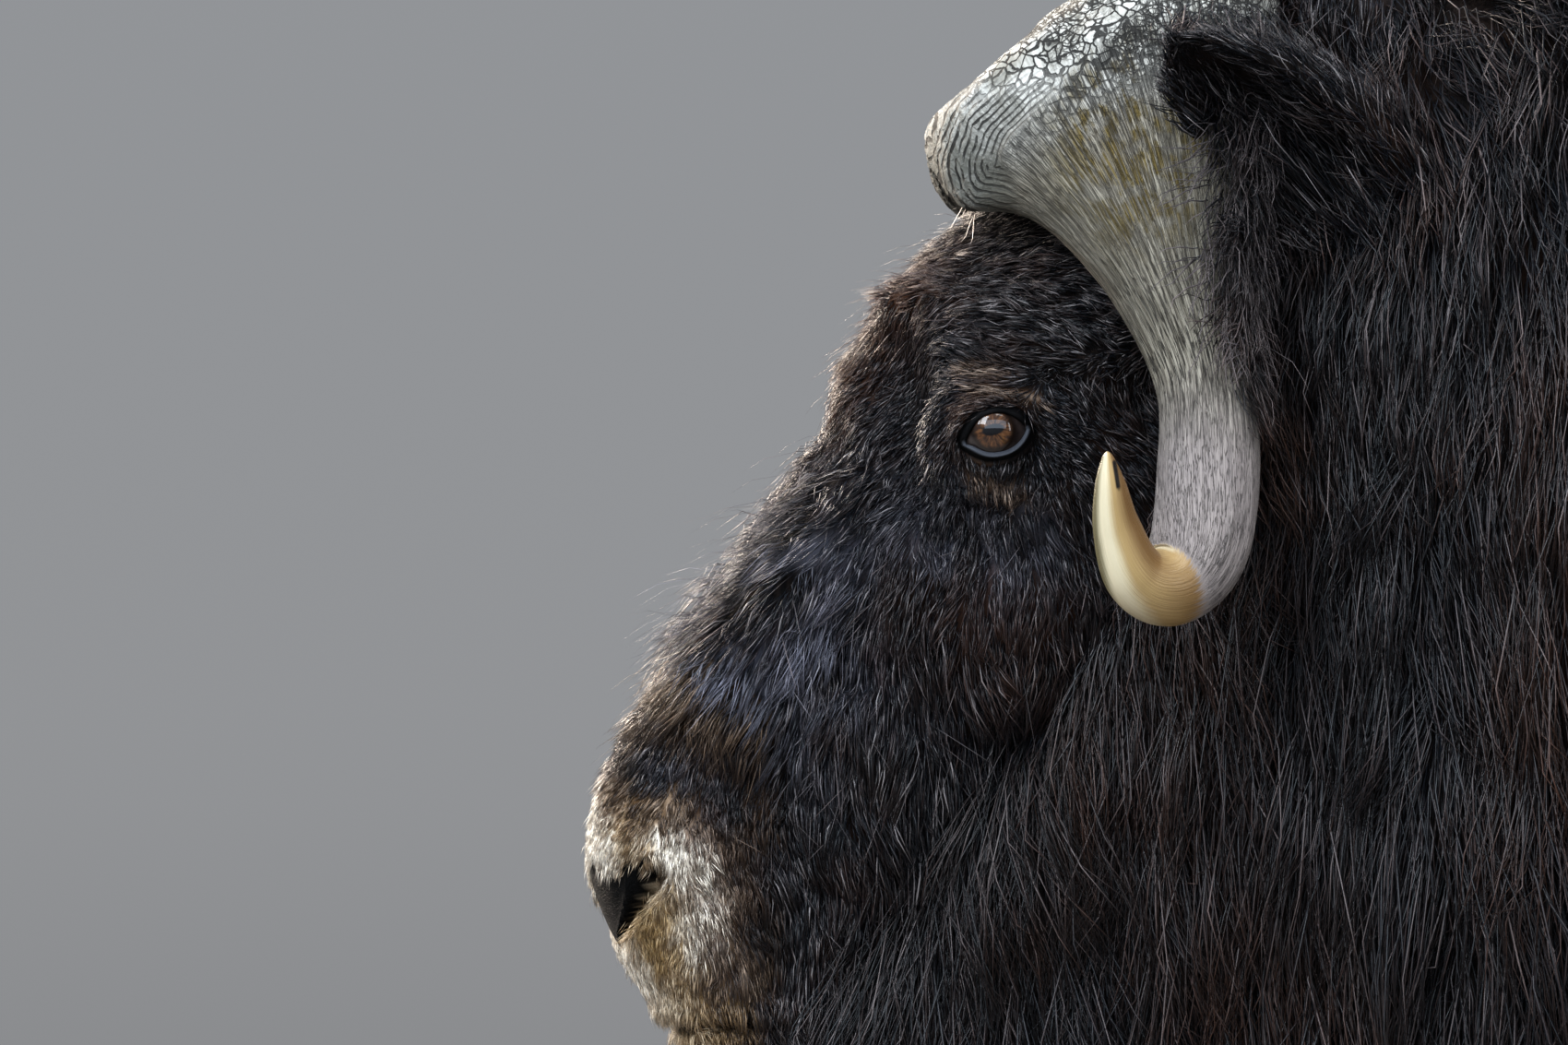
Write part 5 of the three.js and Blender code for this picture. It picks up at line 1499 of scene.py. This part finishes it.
growFur({
    "name": "fur_chest", "shell": body, "weigh": chestWeight, "count": 3000, "guides": guides["chest"], "seed": 95,
    "segments": 3, "blur": 90, "bend": 0.5, "droop": 0.6, "wave": 0.3, "swirl": 0.5, "stray": 0.2, "clump": 0.5,
    "material": longHair, "spread": 0.0,
})
growFur({**sideLook, "name": "fur_rear", "shell": body, "weigh": rearWeight, "count": 1500, "seed": 97, "droop": 0.55,
         "guides": [[place, (*v[:3], v[3] * 0.45, v[4])] for place, v in guides["body"]], "stray": 0.14, "clump": 0.4,
         "clumpSize": 12, "spread": -0.4})
for i, ((kind, name), leg) in enumerate(legs.items()):
    growFur({
        "name": f"fur_{kind}_{name}", "shell": leg, "weigh": lambda c, n: ease(470, 440, c[:, 2]) * ease(62, 66, c[:, 2]),
        "count": 3300, "guides": guides["legs"], "seed": 80 + i, "segments": 2, "blur": 60, "bend": 0.6, "swirl": 0.2,
        "clump": 0.1, "material": shortHair, "spread": 0.0, "legs": 1.0, "sink": 0.8,
    })
growFur({
    "name": "fur_tail", "shell": tail, "weigh": lambda c, n: ease(960, 990, c[:, 0]), "count": 1300, "segments": 3,
    "guides": guides["tail"], "droop": 0.4, "clump": 0.4, "seed": 90, "material": longHair,
})
print("coat", sum(len(o.data.polygons) for o in furPieces), "faces")

# Camera, floor and light
cameraForm = {"at": [-1042.5, 0, 911.75], "distance": 6.5, "wide": 0.85, "sensor": 36}
camera = placed("camera", bpy.data.cameras.new("camera"))
camera.location = world(cameraForm["at"]) - [0, cameraForm["distance"], 0]
camera.rotation_euler = (math.pi / 2, 0, 0)
camera.data.sensor_width = cameraForm["sensor"]
camera.data.lens = cameraForm["sensor"] * cameraForm["distance"] / cameraForm["wide"]
camera.data.clip_end = 200
bpy.context.scene.camera = camera

work = bmesh.new()
bmesh.ops.create_circle(work, cap_ends=True, segments=96, radius=60)
floor = meshed("floor", work)
paint = Paint("floor")
tint = paint.blend(paint.step(paint.noise(3.0), 0.35, 0.65), (0.185, 0.18, 0.175), (0.20, 0.196, 0.19))
paint.shade(Base_Color=tint, Roughness=0.8)
away = paint.put("ShaderNodeVectorMath", {0: paint.place()}, output="Value", operation="LENGTH")
clear = paint.put("ShaderNodeBsdfTransparent")
faded = paint.put("ShaderNodeMixShader", {0: paint.step(away, 2.6, 9.0), 1: paint.shader.outputs[0], 2: clear})
paint.tree.links.new(faded, paint.tree.nodes["Material Output"].inputs[0])
floor.data.materials.append(paint.material)

sky = bpy.data.worlds.new("studio")
sky.use_nodes = True
nodes, links = sky.node_tree.nodes, sky.node_tree.links
rays, split, lift, ramp = (nodes.new("ShaderNode" + kind) for kind in ("TexCoord", "SeparateXYZ", "MapRange", "ValToRGB"))
lift.inputs[1].default_value, lift.inputs[2].default_value = -1, 1
links.new(rays.outputs["Generated"], split.inputs[0])
links.new(split.outputs[2], lift.inputs[0])
links.new(lift.outputs[0], ramp.inputs[0])
links.new(ramp.outputs[0], nodes["Background"].inputs["Color"])
# from straight below to straight above
stops = [(0.0, (0.06, 0.058, 0.055)), (0.44, (0.17, 0.172, 0.178)), (0.49, (0.27, 0.275, 0.285)),
         (0.54, (0.27, 0.28, 0.295)), (0.72, (0.20, 0.235, 0.29)), (1.0, (0.55, 0.64, 0.80))]
for i, (place, colour) in enumerate(stops):
    stop = ramp.color_ramp.elements[i] if i < 2 else ramp.color_ramp.elements.new(place)
    stop.position, stop.color = place, (*colour, 1)
bpy.context.scene.world = sky

softboxes = {
    # place, what it points at, size, power, colour
    "sky_front": [(-3.3, -2.2, 3.3), (-0.8, 0, 0.9), (2.2, 2.0), 195, (0.84, 0.92, 1.0)],
    "sky_top": [(0.4, -0.9, 4.2), (0, 0, 0.8), (3.0, 1.8), 125, (0.9, 0.95, 1.0)],
    "sky_band": [(-0.9, -4.4, 2.9), (-0.9, 0, 0.95), (6.0, 2.2), 140, (0.72, 0.84, 1.0)],
    "rim": [(-3.0, 2.6, 2.4), (-0.9, 0, 0.9), (1.2, 1.6), 300, (1.0, 0.86, 0.72)],
    "far_side": [(1.6, 3.6, 2.8), (0.2, 0, 0.7), (2.6, 2.0), 120, (1.0, 0.95, 0.9)],
    "near_rear": [(3.0, -2.6, 2.2), (0.4, 0, 0.7), (2.0, 2.0), 75, (0.95, 0.97, 1.0)],
}
for name, (place, towards, size, power, colour) in softboxes.items():
    light = bpy.data.lights.new(name, "AREA")
    light.shape, light.size, light.size_y = "RECTANGLE", *size
    light.energy, light.color = power, colour
    lamp = placed(name, light)
    lamp.location = place
    lamp.rotation_euler = (Vector(towards) - Vector(place)).to_track_quat("-Z", "Y").to_euler()
bpy.context.scene.view_settings.view_transform = "Standard"
bpy.context.scene.view_settings.look = "Medium High Contrast"
